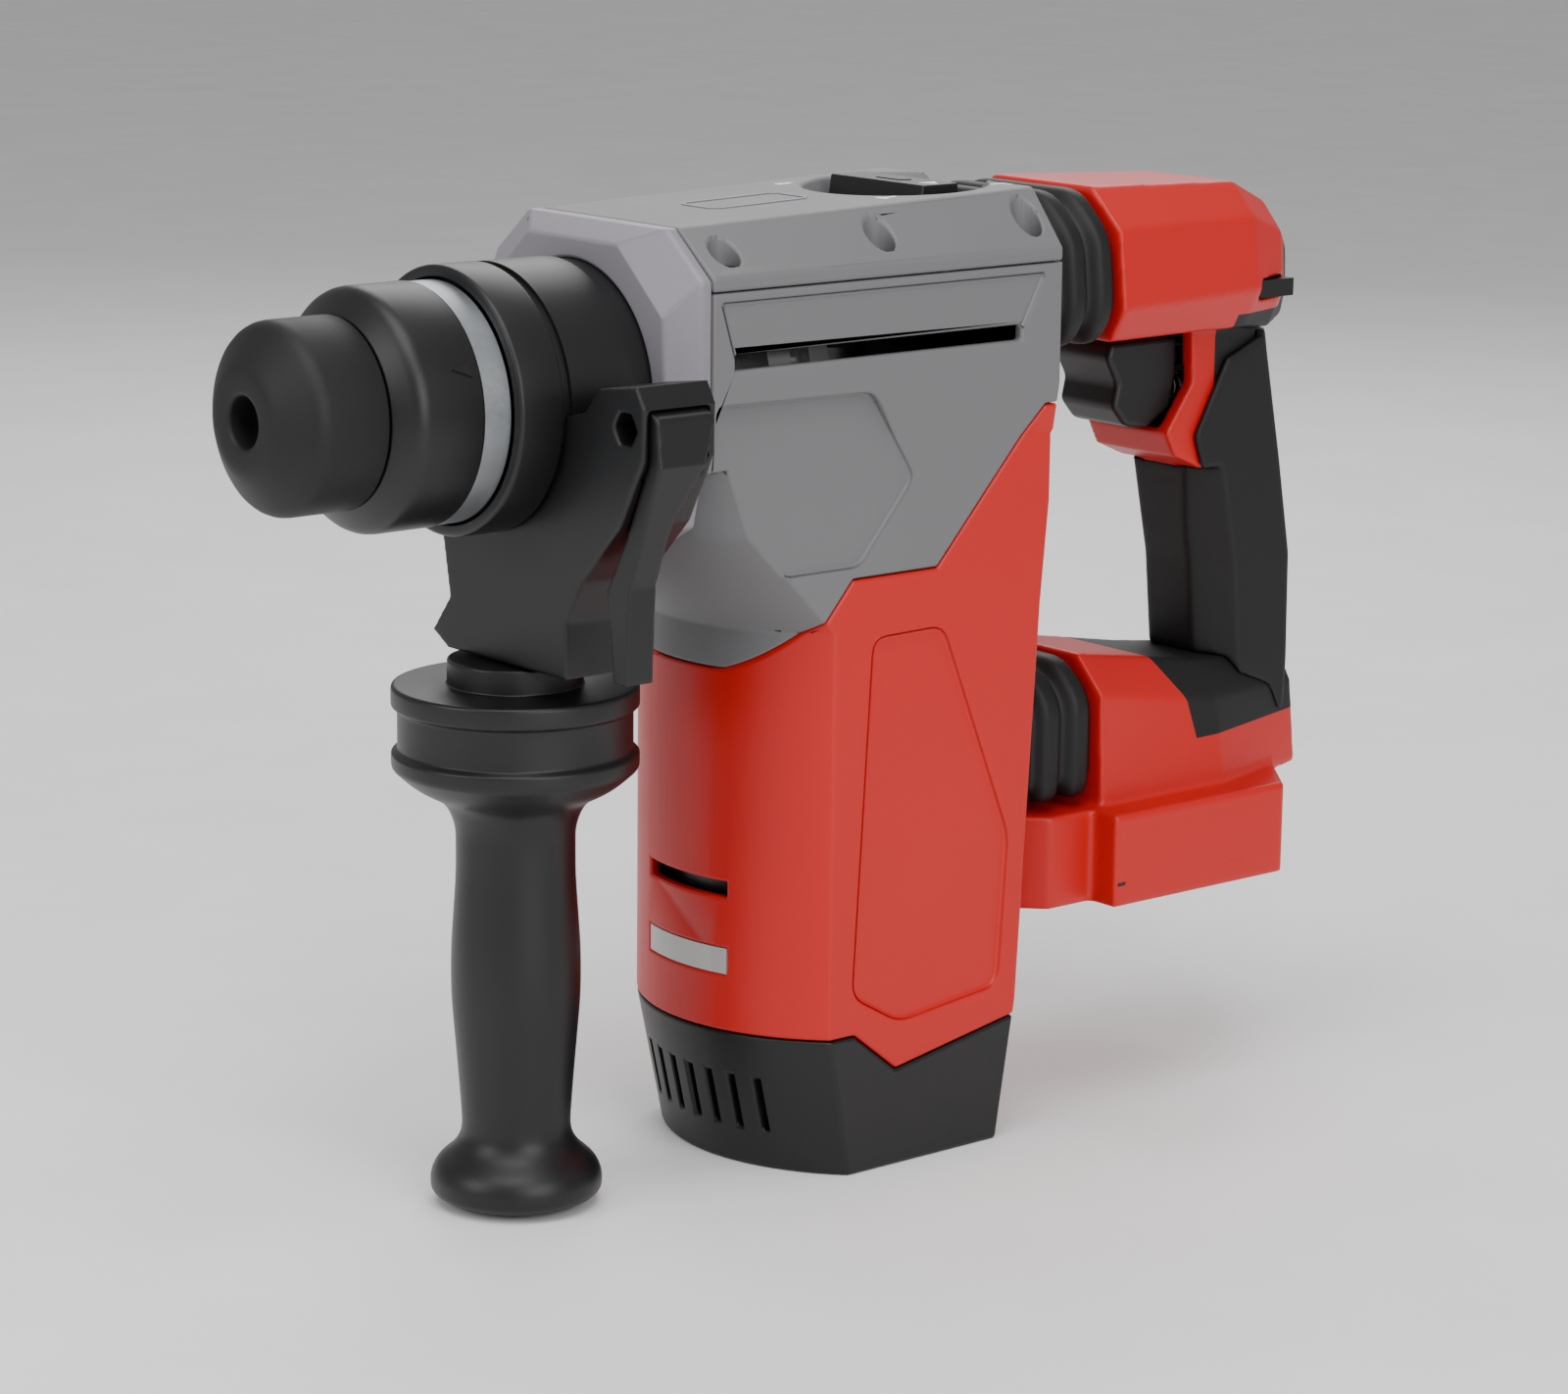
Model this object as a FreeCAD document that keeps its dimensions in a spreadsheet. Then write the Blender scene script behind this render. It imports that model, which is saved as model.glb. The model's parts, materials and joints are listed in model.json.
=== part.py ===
import FreeCAD, Part
import math
import os
import re

import Sketcher
from FreeCAD import Placement, Rotation, Vector

# Cordless rotary hammer with a vertical motor and a damped D-handle.
# Frame: origin on the spindle axis at the mouth of the bit bore, +X towards the bit,
# +Y to the tool's left, +Z up. All sizes in millimetres.

SIZES = {
    # front end, stations along the spindle (x) and radii
    "cap_tip_x": 8.0, "cap_lip_radius": 6.0, "cap_face_radius": 12.2, "cap_shoulder_x": 1.4,
    "nose_radius": 22.5, "cap_wall": 2.5, "cap_root_x": -9.0,
    "sleeve_front_x": -17.2, "sleeve_cone_x": -21.2, "sleeve_radius": 28.6, "sleeve_wall": 3.0,
    "sleeve_rear_x": -38.7, "sleeve_ring_radius": 28.3, "sleeve_ring_length": 7.2, "sleeve_ring_wall": 3.6,
    "cam_radius": 10.8, "cam_half_length": 3.3, "cam_neck_radius": 13.6, "web_length": 3.8,
    "collar_front_x": -46.3, "collar_radius": 31.7, "collar_length": 12.4, "collar_web": 3.7,
    "neck_radius": 30.6, "neck_wall": 4.6, "neck_rear_x": -95.0, "neck_web": 3.4, "seal_radius": 22.0,
    # tool holder, striker, ram, piston
    "shank_radius": 5.05, "shank_depth": 55.0, "relief_x": -14.0, "relief_length": 3.0, "relief_radius": 6.2,
    "holder_radius": 10.4, "holder_step_x": -36.0, "spindle_radius": 17.0, "holder_rear_x": -86.0,
    "striker_bore": 9.06, "ball_radius": 3.5, "ball_x": -24.0, "ball_offset": 7.2,
    "retainer_x": -10.2, "retainer_depth": 0.8, "retainer_radius": 13.0, "retainer_width": 1.3,
    "spring_wire": 1.3, "sleeve_spring_radius": 15.8,
    "striker_radius": 9.0, "striker_nose_radius": 4.98, "striker_nose_x": -50.2, "striker_step_x": -62.0,
    "striker_rear_x": -84.0,
    "cylinder_bore": 14.0, "cylinder_rear_x": -150.0, "ram_radius": 13.93, "ram_nose_radius": 5.5,
    "ram_nose_x": -87.6, "ram_face_x": -91.0, "ram_rear_x": -108.0, "seal_depth": 1.7, "seal_width": 2.8,
    "crank_throw": 11.0, "rod_length": 38.0, "crank_x": -174.5, "piston_front": 11.0, "piston_rear": 8.0,
    "piston_crown": 4.9, "wrist_radius": 3.5, "wrist_half": 12.6, "rod_half_height": 4.0,
    "rod_eye_radius": 5.7,
    "rod_big_radius": 7.5, "rod_width": 7.0, "crank_pin_radius": 4.0, "crank_disc_radius": 15.5,
    "crank_disc_top": -7.0, "crank_disc_length": 6.0, "crank_shaft_radius": 6.0, "shaft_end_z": -61.0,
    "bearing_length": 12.0, "spindle_bearing_x": -63.0,
    # gear train
    "gear_module": 1.0, "gear_top_z": -50.0, "gear_width": 8.0, "motor_x": -152.0,
    "countershaft_radius": 4.0, "bevel_ring_x": -123.0, "bevel_ring_length": 7.0, "bevel_tooth_depth": 1.8,
    "bevel_pinion_top": -22.0, "bevel_pinion_length": 8.0,
    "plate_top_z": -38.0, "plate_thickness": 8.0, "bracket_top_z": -66.0, "bracket_thickness": 7.0,
    "crank_bearing_radius": 13.0, "upstand_front_x": -141.0, "upstand_length": 6.0, "upstand_radius": 21.0,
    # motor
    "rotor_shaft_radius": 4.0, "rotor_radius": 15.4, "stator_bore": 16.0, "stator_radius": 28.0,
    "stator_top_z": -96.0, "stator_length": 40.0, "winding_length": 7.0, "winding_outer": 25.5,
    "winding_inner": 17.5, "fan_top_z": -77.0, "fan_length": 9.0, "fan_radius": 27.0,
    "motor_bearing_radius": 11.0, "motor_bearing_length": 7.0, "rotor_end_z": -160.0,
    "lower_bearing_z": -151.0,
    # housings
    "front_x": -84.5, "front_length": 10.5, "front_bevel": 7.5, "body_half": 40.0, "body_rear_x": -206.0,
    "roof_z": 43.0, "roof_front_z": 39.6, "roof_half": 26.5, "roof_rear_half": 28.5, "shoulder_z": 29.0,
    "seam_z": 25.4, "belly_z": -5.0, "belly_low_z": -17.0,
    "column_half": 38.0, "column_arc": 51.0, "wall": 3.0, "seam_gap": 0.3,
    "chest_z": -34.0, "chest_x": -93.0, "waist_z": -60.0, "waist_x": -118.5, "boot_z": -162.0,
    "column_rear_top": -205.3, "column_rear_waist": -203.0, "column_rear_boot": -197.4,
    "sole_z": -198.4, "sole_x": -127.0, "sole_rear_x": -192.5, "sole_half": 37.0, "boot_dip": 11.0,
    "split_rear_z": -9.5, "split_mid_z": -47.0, "split_low_z": -70.5, "split_mid_x": -168.0,
    "split_front_x": -141.0, "split_curve_x": -120.5,
    "slit_front_x": -102.0, "slit_rear_x": -192.5, "slit_z": 7.0, "slit_height": 3.8,
    "screw_y": 33.5, "screw_first_x": -103.5, "screw_pitch": 47.8, "screw_head_radius": 3.3,
    "screw_head_z": 27.0, "screw_head_length": 3.6, "screw_radius": 2.0, "screw_length": 17.0,
    "screw_hole_radius": 3.8, "boss_radius": 5.2,
    "dial_x": -185.0, "dish_radius": 23.4, "dish_floor_radius": 19.9, "dish_depth": 7.5, "dial_radius": 19.0,
    "dial_disc": 2.0, "dial_bar_half": 7.2, "dial_bar_height": 8.6, "dial_shaft_radius": 5.0,
    "dial_shaft_length": 22.0, "dial_button_half": 3.2, "dial_button_radius": 2.0,
    "lens_half": 15.0, "lens_top_z": -141.0, "lens_height": 6.5, "lens_depth": 2.0,
    "vent_top_z": -124.0, "vent_height": 4.0,
    # damped handle
    "handle_front_x": -235.2, "handle_wall": 2.6, "handle_gap": 0.1, "bellows_gap": 0.4,
    "rod_radius": 3.0, "upper_rod_z": 22.0, "lower_rod_z": -101.0, "rod_depth": 14.0,
    "grip_half": 15.2, "grip_skin": 2.0, "foot_half": 38.0, "foot_top_z": -119.5, "foot_bottom_z": -144.0,
    "foot_front_x": -231.5, "foot_rear_x": -293.0, "foot_tail_x": -314.0, "foot_block_half": 29.0,
    "foot_block_x": -208.0, "rail_lip": 5.0,
    "trigger_half": 10.5, "trigger_top_z": -1.8,
    "selector_x": -298.3, "selector_z": 10.5, "selector_half_length": 6.2, "selector_half_height": 2.3,
    "selector_reach": 24.0,
    # side handle
    "clamp_x": -67.8, "clamp_front_x": -59.4, "clamp_length": 20.8, "band_thickness": 0.9,
    "grip_ring_radius": 16.3, "disc_radius": 29.7, "disc_top_z": -69.4, "disc_waist_radius": 28.2,
    "disc_bottom_z": -91.0, "grip_end_z": -198.2, "knob_radius": 20.9, "grip_belly_radius": 15.7,
    "clamp_stud_radius": 4.0, "rod_hole_y": 53.0, "rod_hole_z": -1.0, "rod_hole_flat": 4.2,
    "lever_gap": 0.5, "lever_swing": 2.5, "pivot_y": 57.0, "pivot_z": -9.0, "pivot_radius": 1.44,
    "lug_radius": 3.0, "lever_front_x": -61.6, "lever_length": 16.4,
    # shared clearances
    "running": 0.06, "snug": 0.05, "gap": 0.3,
}

doc = FreeCAD.newDocument("rotary_hammer")
sheet = doc.addObject("Spreadsheet::Sheet", "Dimensions")
for row, (alias, number) in enumerate(SIZES.items(), start=1):
    sheet.set("A%d" % row, alias)
    sheet.set("B%d" % row, str(number))
    sheet.setAlias("B%d" % row, alias)
doc.recompute()
size = sheet

nodes = []


def bound(text):
    """The same expression with every size read from the sheet."""
    return re.sub(r"[a-z][a-z_]*", lambda word: "Dimensions." + word[0] if word[0] in SIZES else word[0],
                  str(text))


def new_body(label):
    body = doc.addObject("PartDesign::Body", label)
    body.Label = label
    nodes.append(body)
    return body


def sketch_on(body, plane, start):
    sketch = body.newObject("Sketcher::SketchObject", body.Name + "_sketch")
    origin_plane = [feature for feature in body.Origin.OriginFeatures if feature.Role == plane][0]
    sketch.AttachmentSupport = [(origin_plane, "")]
    sketch.MapMode = "FlatFace"
    sketch.setExpression("AttachmentOffset.Base.z", bound(start))
    return sketch


def draw_outline(sketch, points):
    """A closed outline whose corners are each tied to the sheet."""
    count = len(points)
    for index in range(count):
        first = Vector(index, index * index, 0)
        last = Vector(index + 1, (index + 1) ** 2, 0)
        sketch.addGeometry(Part.LineSegment(first, last), False)
    for index in range(count):
        sketch.addConstraint(Sketcher.Constraint("Coincident", index, 2, (index + 1) % count, 1))
    for index, corner in enumerate(points):
        for kind, text in zip(("DistanceX", "DistanceY"), corner):
            added = sketch.addConstraint(Sketcher.Constraint(kind, -1, 1, index, 1, 1.0))
            sketch.setExpression("Constraints[%d]" % added, bound(text))


def draw_circle(sketch, centre, radius):
    circle = sketch.addGeometry(Part.Circle(Vector(1, 1, 0), Vector(0, 0, 1), 2.0), False)
    for kind, text in zip(("DistanceX", "DistanceY"), centre):
        added = sketch.addConstraint(Sketcher.Constraint(kind, -1, 1, circle, 3, 1.0))
        sketch.setExpression("Constraints[%d]" % added, bound(text))
    added = sketch.addConstraint(Sketcher.Constraint("Radius", circle, 2.0))
    sketch.setExpression("Constraints[%d]" % added, bound(radius))


def turn(body, points, axis="H_Axis"):
    """Revolve an outline about the body's X (H_Axis) or Z (V_Axis)."""
    sketch = sketch_on(body, "XZ_Plane", "0")
    draw_outline(sketch, points)
    feature = body.newObject("PartDesign::Revolution", body.Name + "_turned")
    feature.Profile = sketch
    feature.ReferenceAxis = (sketch, [axis])
    feature.Angle = 360
    return feature


def pad(body, plane, start, length, points=None, circles=()):
    sketch = sketch_on(body, plane, start)
    if points:
        draw_outline(sketch, points)
    for centre, radius in circles:
        draw_circle(sketch, centre, radius)
    feature = body.newObject("PartDesign::Pad", body.Name + "_pad")
    feature.Profile = sketch
    feature.setExpression("Length", bound(length))
    return feature


def pocket(body, plane, start, length, points=None, circles=()):
    """Remove material from start, along the plane's normal, for length."""
    sketch = sketch_on(body, plane, start)
    if points:
        draw_outline(sketch, points)
    for centre, radius in circles:
        draw_circle(sketch, centre, radius)
    doc.recompute()
    before = body.Shape.Volume
    feature = body.newObject("PartDesign::Pocket", body.Name + "_pocket")
    feature.Profile = sketch
    feature.Reversed = True
    feature.setExpression("Length", bound(length))
    doc.recompute()
    if body.Shape.Volume > before - 0.001:
        raise RuntimeError(body.Label + ": a pocket cut nothing")
    return feature


def turned(label, points, axis="H_Axis"):
    body = new_body(label)
    turn(body, points, axis)
    return body


def tube(label, x_front, length, inner, outer):
    """A plain ring on the spindle axis, from x_front back towards -X."""
    rear = "%s - (%s)" % (x_front, length)
    return turned(label, [(x_front, inner), (x_front, outer), (rear, outer), (rear, inner)])


def placed(obj, x="0", y="0", z="0"):
    for axis, text in zip("xyz", (x, y, z)):
        obj.setExpression("Placement.Base." + axis, bound(text))
    return obj


def made(label, shape):
    """A piece whose shape is built from the sheet's values with Part's own functions."""
    feature = doc.addObject("Part::Feature", label)
    feature.Label = label
    feature.Shape = shape.removeSplitter()
    nodes.append(feature)
    return feature


def box(x_low, x_high, y_low, y_high, z_low, z_high):
    return Part.makeBox(x_high - x_low, y_high - y_low, z_high - z_low, Vector(x_low, y_low, z_low))


def cylinder(radius, start, direction, length):
    return Part.makeCylinder(radius, length, Vector(*start), Vector(*direction))


def prism(points, direction):
    """A closed outline of 3-D points pushed along a vector."""
    corners = [Vector(*point) for point in points]
    return Part.Face(Part.makePolygon(corners + [corners[0]])).extrude(Vector(*direction))


def side_prism(outline, y_low, y_high):
    return prism([(x, y_low, z) for x, z in outline], (0, y_high - y_low, 0))


def section_prism(outline, x_front, x_rear):
    return prism([(x_front, y, z) for y, z in outline], (x_rear - x_front, 0, 0))


def ruled(sections):
    """A ruled solid through closed outlines of 3-D points, all with as many corners."""
    wires = []
    for section in sections:
        corners = [Vector(*point) for point in section]
        wires.append(Part.makePolygon(corners + [corners[0]]))
    return Part.makeLoft(wires, True, True)


def mirrored_outline(right_side):
    """An outline symmetric in y, from the points of its +y side, top to bottom."""
    return right_side + [(-y, z) for y, z in reversed(right_side)]


def coil(x_front, x_rear, radius, wire, turns, axis_y=0.0, axis_z=0.0):
    """A closed helical spring along X."""
    length = x_front - x_rear - wire
    helix = Part.makeLongHelix(length / turns, length, radius)
    start = Vector(radius, 0, 0)
    circle = Part.Wire(Part.makeCircle(wire / 2, start, Vector(0, 1, 0)))
    spring = Part.Wire(helix.Edges).makePipeShell([circle], True, True)
    spring.rotate(Vector(0, 0, 0), Vector(0, 1, 0), 90)
    spring.translate(Vector(x_rear + wire / 2, axis_y, axis_z))
    return spring


# --- front end -------------------------------------------------------------------------

def dust_cap():
    rear = "sleeve_front_x + gap"
    inner = "nose_radius - cap_wall"
    turned("dust_cap", [
        ("cap_tip_x", "cap_lip_radius"), ("cap_tip_x", "cap_face_radius"), ("cap_shoulder_x", "nose_radius"),
        (rear, "nose_radius"), (rear, inner), ("-1 * cap_wall", inner),
        ("-1 * cap_wall", "retainer_radius + 0.4"),
        ("cap_root_x", "retainer_radius + 0.4"), ("cap_root_x", "holder_radius + snug"),
        ("0.1", "holder_radius + snug"), ("0.1", "cap_lip_radius")])


def locking_sleeve():
    web_rear = "ball_x + cam_half_length - web_length"
    inner = "sleeve_radius - sleeve_wall"
    turned("locking_sleeve", [
        ("sleeve_front_x", "nose_radius"), ("sleeve_cone_x", "sleeve_radius"),
        ("sleeve_rear_x", "sleeve_radius"),
        ("sleeve_rear_x", inner), (web_rear, inner), (web_rear, "cam_neck_radius"),
        ("ball_x - cam_half_length", "cam_neck_radius"), ("ball_x - cam_half_length", "cam_radius"),
        ("ball_x + cam_half_length", "cam_radius"), ("ball_x + cam_half_length", "nose_radius - cap_wall"),
        ("sleeve_front_x", "nose_radius - cap_wall")])
    tube("sleeve_ring", "sleeve_rear_x", "sleeve_ring_length", "sleeve_ring_radius - sleeve_ring_wall",
         "sleeve_ring_radius")


def tool_holder():
    body = new_body("tool_holder")
    turn(body, [
        ("0", "shank_radius"), ("0", "holder_radius"), ("retainer_x + 0.1", "holder_radius"),
        ("retainer_x + 0.1", "holder_radius - retainer_depth"),
        ("retainer_x - retainer_width - 0.1", "holder_radius - retainer_depth"),
        ("retainer_x - retainer_width - 0.1", "holder_radius"),
        ("holder_step_x", "holder_radius"), ("holder_step_x", "spindle_radius"),
        ("holder_rear_x", "spindle_radius"), ("holder_rear_x", "striker_bore"),
        ("-1 * shank_depth", "striker_bore"),
        ("-1 * shank_depth", "shank_radius"), ("relief_x - relief_length", "shank_radius"),
        ("relief_x - relief_length", "relief_radius"), ("relief_x", "relief_radius"),
        ("relief_x", "shank_radius")])
    pocket(body, "XY_Plane", "-1 * holder_radius - 1", "2 * holder_radius + 2",
           circles=[(("ball_x", "0"), "ball_radius + 0.15")])
    balls = [Part.makeSphere(size.ball_radius,
                             Vector(size.ball_x, 0, side * size.ball_offset)) for side in (1, -1)]
    made("locking_balls", Part.makeCompound(balls))
    ring = new_body("holder_ring")
    turn(ring, [
        ("retainer_x", "holder_radius - retainer_depth + snug"), ("retainer_x", "retainer_radius"),
        ("retainer_x - retainer_width", "retainer_radius"),
        ("retainer_x - retainer_width", "holder_radius - retainer_depth + snug")])
    pocket(ring, "YZ_Plane", "retainer_x - retainer_width - 1", "retainer_width + 2",
           points=[("-2", "0"), ("2", "0"), ("2", "retainer_radius + 1"), ("-2", "retainer_radius + 1")])


SPRING_PLEATS = 4


def sleeve_spring():
    """Disc springs stacked tip to tip, as one pleated ring between the sleeve's web and the holder's step."""
    rear = "holder_step_x + gap"
    span = "(ball_x + cam_half_length - web_length - holder_step_x - 2 * gap)"
    folds = []
    for fold in range(SPRING_PLEATS + 1):
        radius = "sleeve_spring_radius + spring_wire" if fold % 2 else "sleeve_spring_radius - spring_wire"
        folds.append((f"{rear} + {span} * {fold / SPRING_PLEATS}", radius))
    turned("sleeve_spring", folds + [(x, radius + " + spring_wire") for x, radius in reversed(folds)])


def collar_and_neck():
    web_front = "collar_front_x - collar_length + collar_web"
    rear = "collar_front_x - collar_length"
    turned("front_collar", [
        ("collar_front_x", "sleeve_radius + gap"), ("collar_front_x", "collar_radius"),
        (rear, "collar_radius"),
        (rear, "seal_radius"), (web_front, "seal_radius"), (web_front, "sleeve_radius + gap")])
    inner = "neck_radius - neck_wall"
    turned("barrel_neck", [
        (rear, "seal_radius"), (rear, "neck_radius"), ("neck_rear_x", "neck_radius"), ("neck_rear_x", inner),
        (rear + " - neck_web", inner), (rear + " - neck_web", "seal_radius")])
    tube("spindle_seal", rear + " - 0.1", "neck_web - 0.2", "spindle_radius + running", "seal_radius - snug")
    tube("spindle_bearing", "spindle_bearing_x", "bearing_length", "spindle_radius + running",
         inner + " - snug")


# --- hammer mechanism ------------------------------------------------------------------

def hammer_cylinder():
    tube("hammer_cylinder", "holder_rear_x", "holder_rear_x - cylinder_rear_x", "cylinder_bore",
         "spindle_radius")
    turned("striker", [
        ("striker_nose_x", "0"), ("striker_nose_x", "striker_nose_radius"),
        ("striker_step_x", "striker_nose_radius"),
        ("striker_step_x", "striker_radius"), ("striker_rear_x", "striker_radius"), ("striker_rear_x", "0")])
    groove = "ram_face_x - 7"
    turned("ram", [
        ("ram_nose_x", "0"), ("ram_nose_x", "ram_nose_radius"), ("ram_face_x", "ram_nose_radius"),
        ("ram_face_x", "ram_radius"), (groove, "ram_radius"), (groove, "ram_radius - seal_depth"),
        (groove + " - seal_width", "ram_radius - seal_depth"), (groove + " - seal_width", "ram_radius"),
        ("ram_rear_x", "ram_radius"), ("ram_rear_x", "0")])
    tube("ram_seal", groove + " - 0.1", "seal_width - 0.2", "ram_radius - seal_depth + snug", "ram_radius")


def piston_and_rod():
    wrist_x = "crank_x + crank_throw + rod_length"
    front = wrist_x + " + piston_front"
    rear = wrist_x + " - piston_rear"
    body = new_body("piston")
    groove = front + " - 0.9"
    turn(body, [
        (front, "0"), (front, "ram_radius"), (groove, "ram_radius"), (groove, "ram_radius - seal_depth"),
        (groove + " - seal_width", "ram_radius - seal_depth"), (groove + " - seal_width", "ram_radius"),
        (rear, "ram_radius"), (rear, "0")])
    slot = [("-1 * ram_radius - 1", "-1 * rod_half_height - gap"),
            ("ram_radius + 1", "-1 * rod_half_height - gap"),
            ("ram_radius + 1", "rod_half_height + gap"), ("-1 * ram_radius - 1", "rod_half_height + gap")]
    pocket(body, "YZ_Plane", rear + " - 1", "piston_front + piston_rear - piston_crown + 1", points=slot)
    pocket(body, "XY_Plane", "-1 * ram_radius - 1", "2 * ram_radius + 2",
           circles=[((wrist_x, "0"), "wrist_radius + snug")])
    tube("piston_seal", groove + " - 0.1", "seal_width - 0.2", "ram_radius - seal_depth + snug", "ram_radius")
    pin = new_body("wrist_pin")
    pad(pin, "XY_Plane", "-1 * wrist_half", "2 * wrist_half", circles=[((wrist_x, "0"), "wrist_radius")])
    rod = new_body("connecting_rod")
    big_x = "crank_x + crank_throw"
    pad(rod, "XY_Plane", "-1 * rod_half_height", "2 * rod_half_height",
        points=[(big_x, "-0.5 * rod_width"), (wrist_x, "-0.5 * rod_width"), (wrist_x, "0.5 * rod_width"),
                (big_x, "0.5 * rod_width")])
    pad(rod, "XY_Plane", "-1 * rod_half_height", "2 * rod_half_height",
        circles=[((big_x, "0"), "rod_big_radius")])
    pad(rod, "XY_Plane", "-1 * rod_half_height", "2 * rod_half_height",
        circles=[((wrist_x, "0"), "rod_eye_radius")])
    pocket(rod, "XY_Plane", "-1 * rod_half_height - 1", "2 * rod_half_height + 2",
           circles=[((wrist_x, "0"), "wrist_radius + running"), ((big_x, "0"), "crank_pin_radius + snug")])
    crank_pin = new_body("crank_pin")
    pad(crank_pin, "XY_Plane", "crank_disc_top + gap", "rod_half_height - crank_disc_top - gap",
        circles=[((big_x, "0"), "crank_pin_radius")])


def crankshaft():
    shaft = turned("crankshaft", [
        ("0", "crank_disc_top"), ("crank_disc_radius", "crank_disc_top"),
        ("crank_disc_radius", "crank_disc_top - crank_disc_length"),
        ("crank_shaft_radius", "crank_disc_top - crank_disc_length"), ("crank_shaft_radius", "shaft_end_z"),
        ("0", "shaft_end_z")], "V_Axis")
    placed(shaft, "crank_x")


# --- gears -----------------------------------------------------------------------------

PINION_TEETH = 8
CRANK_TEETH = 37
COUNTER_TEETH = 25
BEVEL_PINION_TEETH = 9
BEVEL_RING_TEETH = 51
TOOTH_TIP = 0.8
TOOTH_ROOT = 1.15
TIP_SHARE = 0.22
ROOT_SHARE = 0.40


def gear_outline(teeth, module, turn_share=0.0):
    """Corners of a straight-sided gear; turn_share shifts it by a share of one tooth."""
    pitch_radius = teeth * module / 2
    step = 2 * math.pi / teeth
    corners = []
    for tooth in range(teeth):
        middle = (tooth + turn_share) * step
        for radius, share in ((pitch_radius - TOOTH_ROOT * module, -ROOT_SHARE),
                              (pitch_radius + TOOTH_TIP * module, -TIP_SHARE),
                              (pitch_radius + TOOTH_TIP * module, TIP_SHARE),
                              (pitch_radius - TOOTH_ROOT * module, ROOT_SHARE)):
            angle = middle + share * step / 2
            corners.append((radius * math.cos(angle), radius * math.sin(angle)))
    return corners


def spur_gear(teeth, x, z_top, width, bore=0.0, turn_share=0.0):
    corners = [(x + along, across, z_top - width) for along,
               across in gear_outline(teeth, size.gear_module, turn_share)]
    gear = prism(corners, (0, 0, width))
    if bore:
        gear = gear.cut(cylinder(bore, (x, 0, z_top - width - 1), (0, 0, 1), width + 2))
    return gear


def counter_x():
    return size.motor_x + size.gear_module * (PINION_TEETH + COUNTER_TEETH) / 2


def gear_train():
    width = size.gear_width
    bore = size.crank_shaft_radius + size.snug
    # the pinion has a tooth on each side along X, so both wheels start with a gap facing it
    made("crank_gear", spur_gear(CRANK_TEETH, size.crank_x, size.gear_top_z, width, bore, 0.5))
    counter_share = 0.5 * (1 - COUNTER_TEETH % 2)
    made("countershaft_gear", spur_gear(COUNTER_TEETH, counter_x(), size.gear_top_z, width,
                                        size.countershaft_radius + size.snug, counter_share))
    shaft = cylinder(size.countershaft_radius, (counter_x(), 0, size.shaft_end_z), (0, 0, 1),
                     size.bevel_pinion_top - size.bevel_pinion_length - size.shaft_end_z)
    pinion = spur_gear(BEVEL_PINION_TEETH, counter_x(), size.bevel_pinion_top, size.bevel_pinion_length,
                       0.0, 0.0)
    made("countershaft", shaft.fuse(pinion))


def bevel_ring():
    front = size.bevel_ring_x
    rear = front - size.bevel_ring_length
    outer = 27.2
    blank = cylinder(outer, (rear, 0, 0), (1, 0, 0), size.bevel_ring_length)
    blank = blank.cut(cylinder(size.spindle_radius + size.snug, (rear - 5, 0, 0), (1, 0, 0),
                               size.bevel_ring_length + 10))
    step = 360.0 / BEVEL_RING_TEETH
    inner = 23.6
    tooth_half = 0.5
    tooth = box(rear - size.bevel_tooth_depth, rear + 0.5, -tooth_half, tooth_half, -outer + 0.3, -inner)
    teeth = []
    for index in range(BEVEL_RING_TEETH):
        copy = tooth.copy()
        copy.rotate(Vector(0, 0, 0), Vector(1, 0, 0), (index + 0.5) * step)
        teeth.append(copy)
    made("bevel_ring", blank.multiFuse(teeth))


def gearbox_frame():
    half = size.column_half - size.wall - 0.3
    top = size.plate_top_z
    low = top - size.plate_thickness
    rear = size.column_rear_waist + size.wall + 0.5
    front = size.waist_x + 3
    outline = [(front, -24, low), (front - 10, -half, low), (rear, -half, low), (rear, half, low),
               (front - 10, half, low), (front, 24, low)]
    plate = prism(outline, (0, 0, size.plate_thickness))
    stand = box(size.upstand_front_x - size.upstand_length, size.upstand_front_x, -10, 10, top - 1,
                -size.spindle_radius)
    ring = cylinder(size.upstand_radius, (size.upstand_front_x - size.upstand_length, 0, 0), (1, 0, 0),
                    size.upstand_length)
    bracket_low = size.bracket_top_z - size.bracket_thickness
    bracket_rear = size.column_rear_boot
    bracket_front = size.waist_x - size.wall - 5
    outline = [(bracket_front, -20, bracket_low), (bracket_front - 13.5, -half, bracket_low),
               (bracket_rear, -half, bracket_low), (bracket_rear, half, bracket_low),
               (bracket_front - 13.5, half, bracket_low), (bracket_front, 20, bracket_low)]
    bracket = prism(outline, (0, 0, size.bracket_thickness))
    pillars = [box(-160, -148, min(side * 28, side * half), max(side * 28, side * half), bracket_low + 1,
                   top - 1)
               for side in (1, -1)]
    plate = plate.fuse([stand, ring, bracket] + pillars)
    cuts = [cylinder(size.motor_bearing_radius + size.snug, (size.motor_x, 0, bracket_low - 1), (0, 0, 1),
                     size.bracket_thickness + 2),
            cylinder(size.spindle_radius + size.running, (size.upstand_front_x - 20, 0, 0), (1, 0, 0), 40),
            cylinder(size.crank_bearing_radius + size.snug, (size.crank_x, 0, low - 1), (0, 0, 1), 12),
            cylinder(size.countershaft_radius + size.running, (counter_x(), 0, low - 1), (0, 0, 1), 12),
            cylinder(6.5, (size.motor_x, 0, low - 1), (0, 0, 1), 12)]
    made("gearbox_frame", plate.cut(cuts))


# --- motor -----------------------------------------------------------------------------

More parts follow.
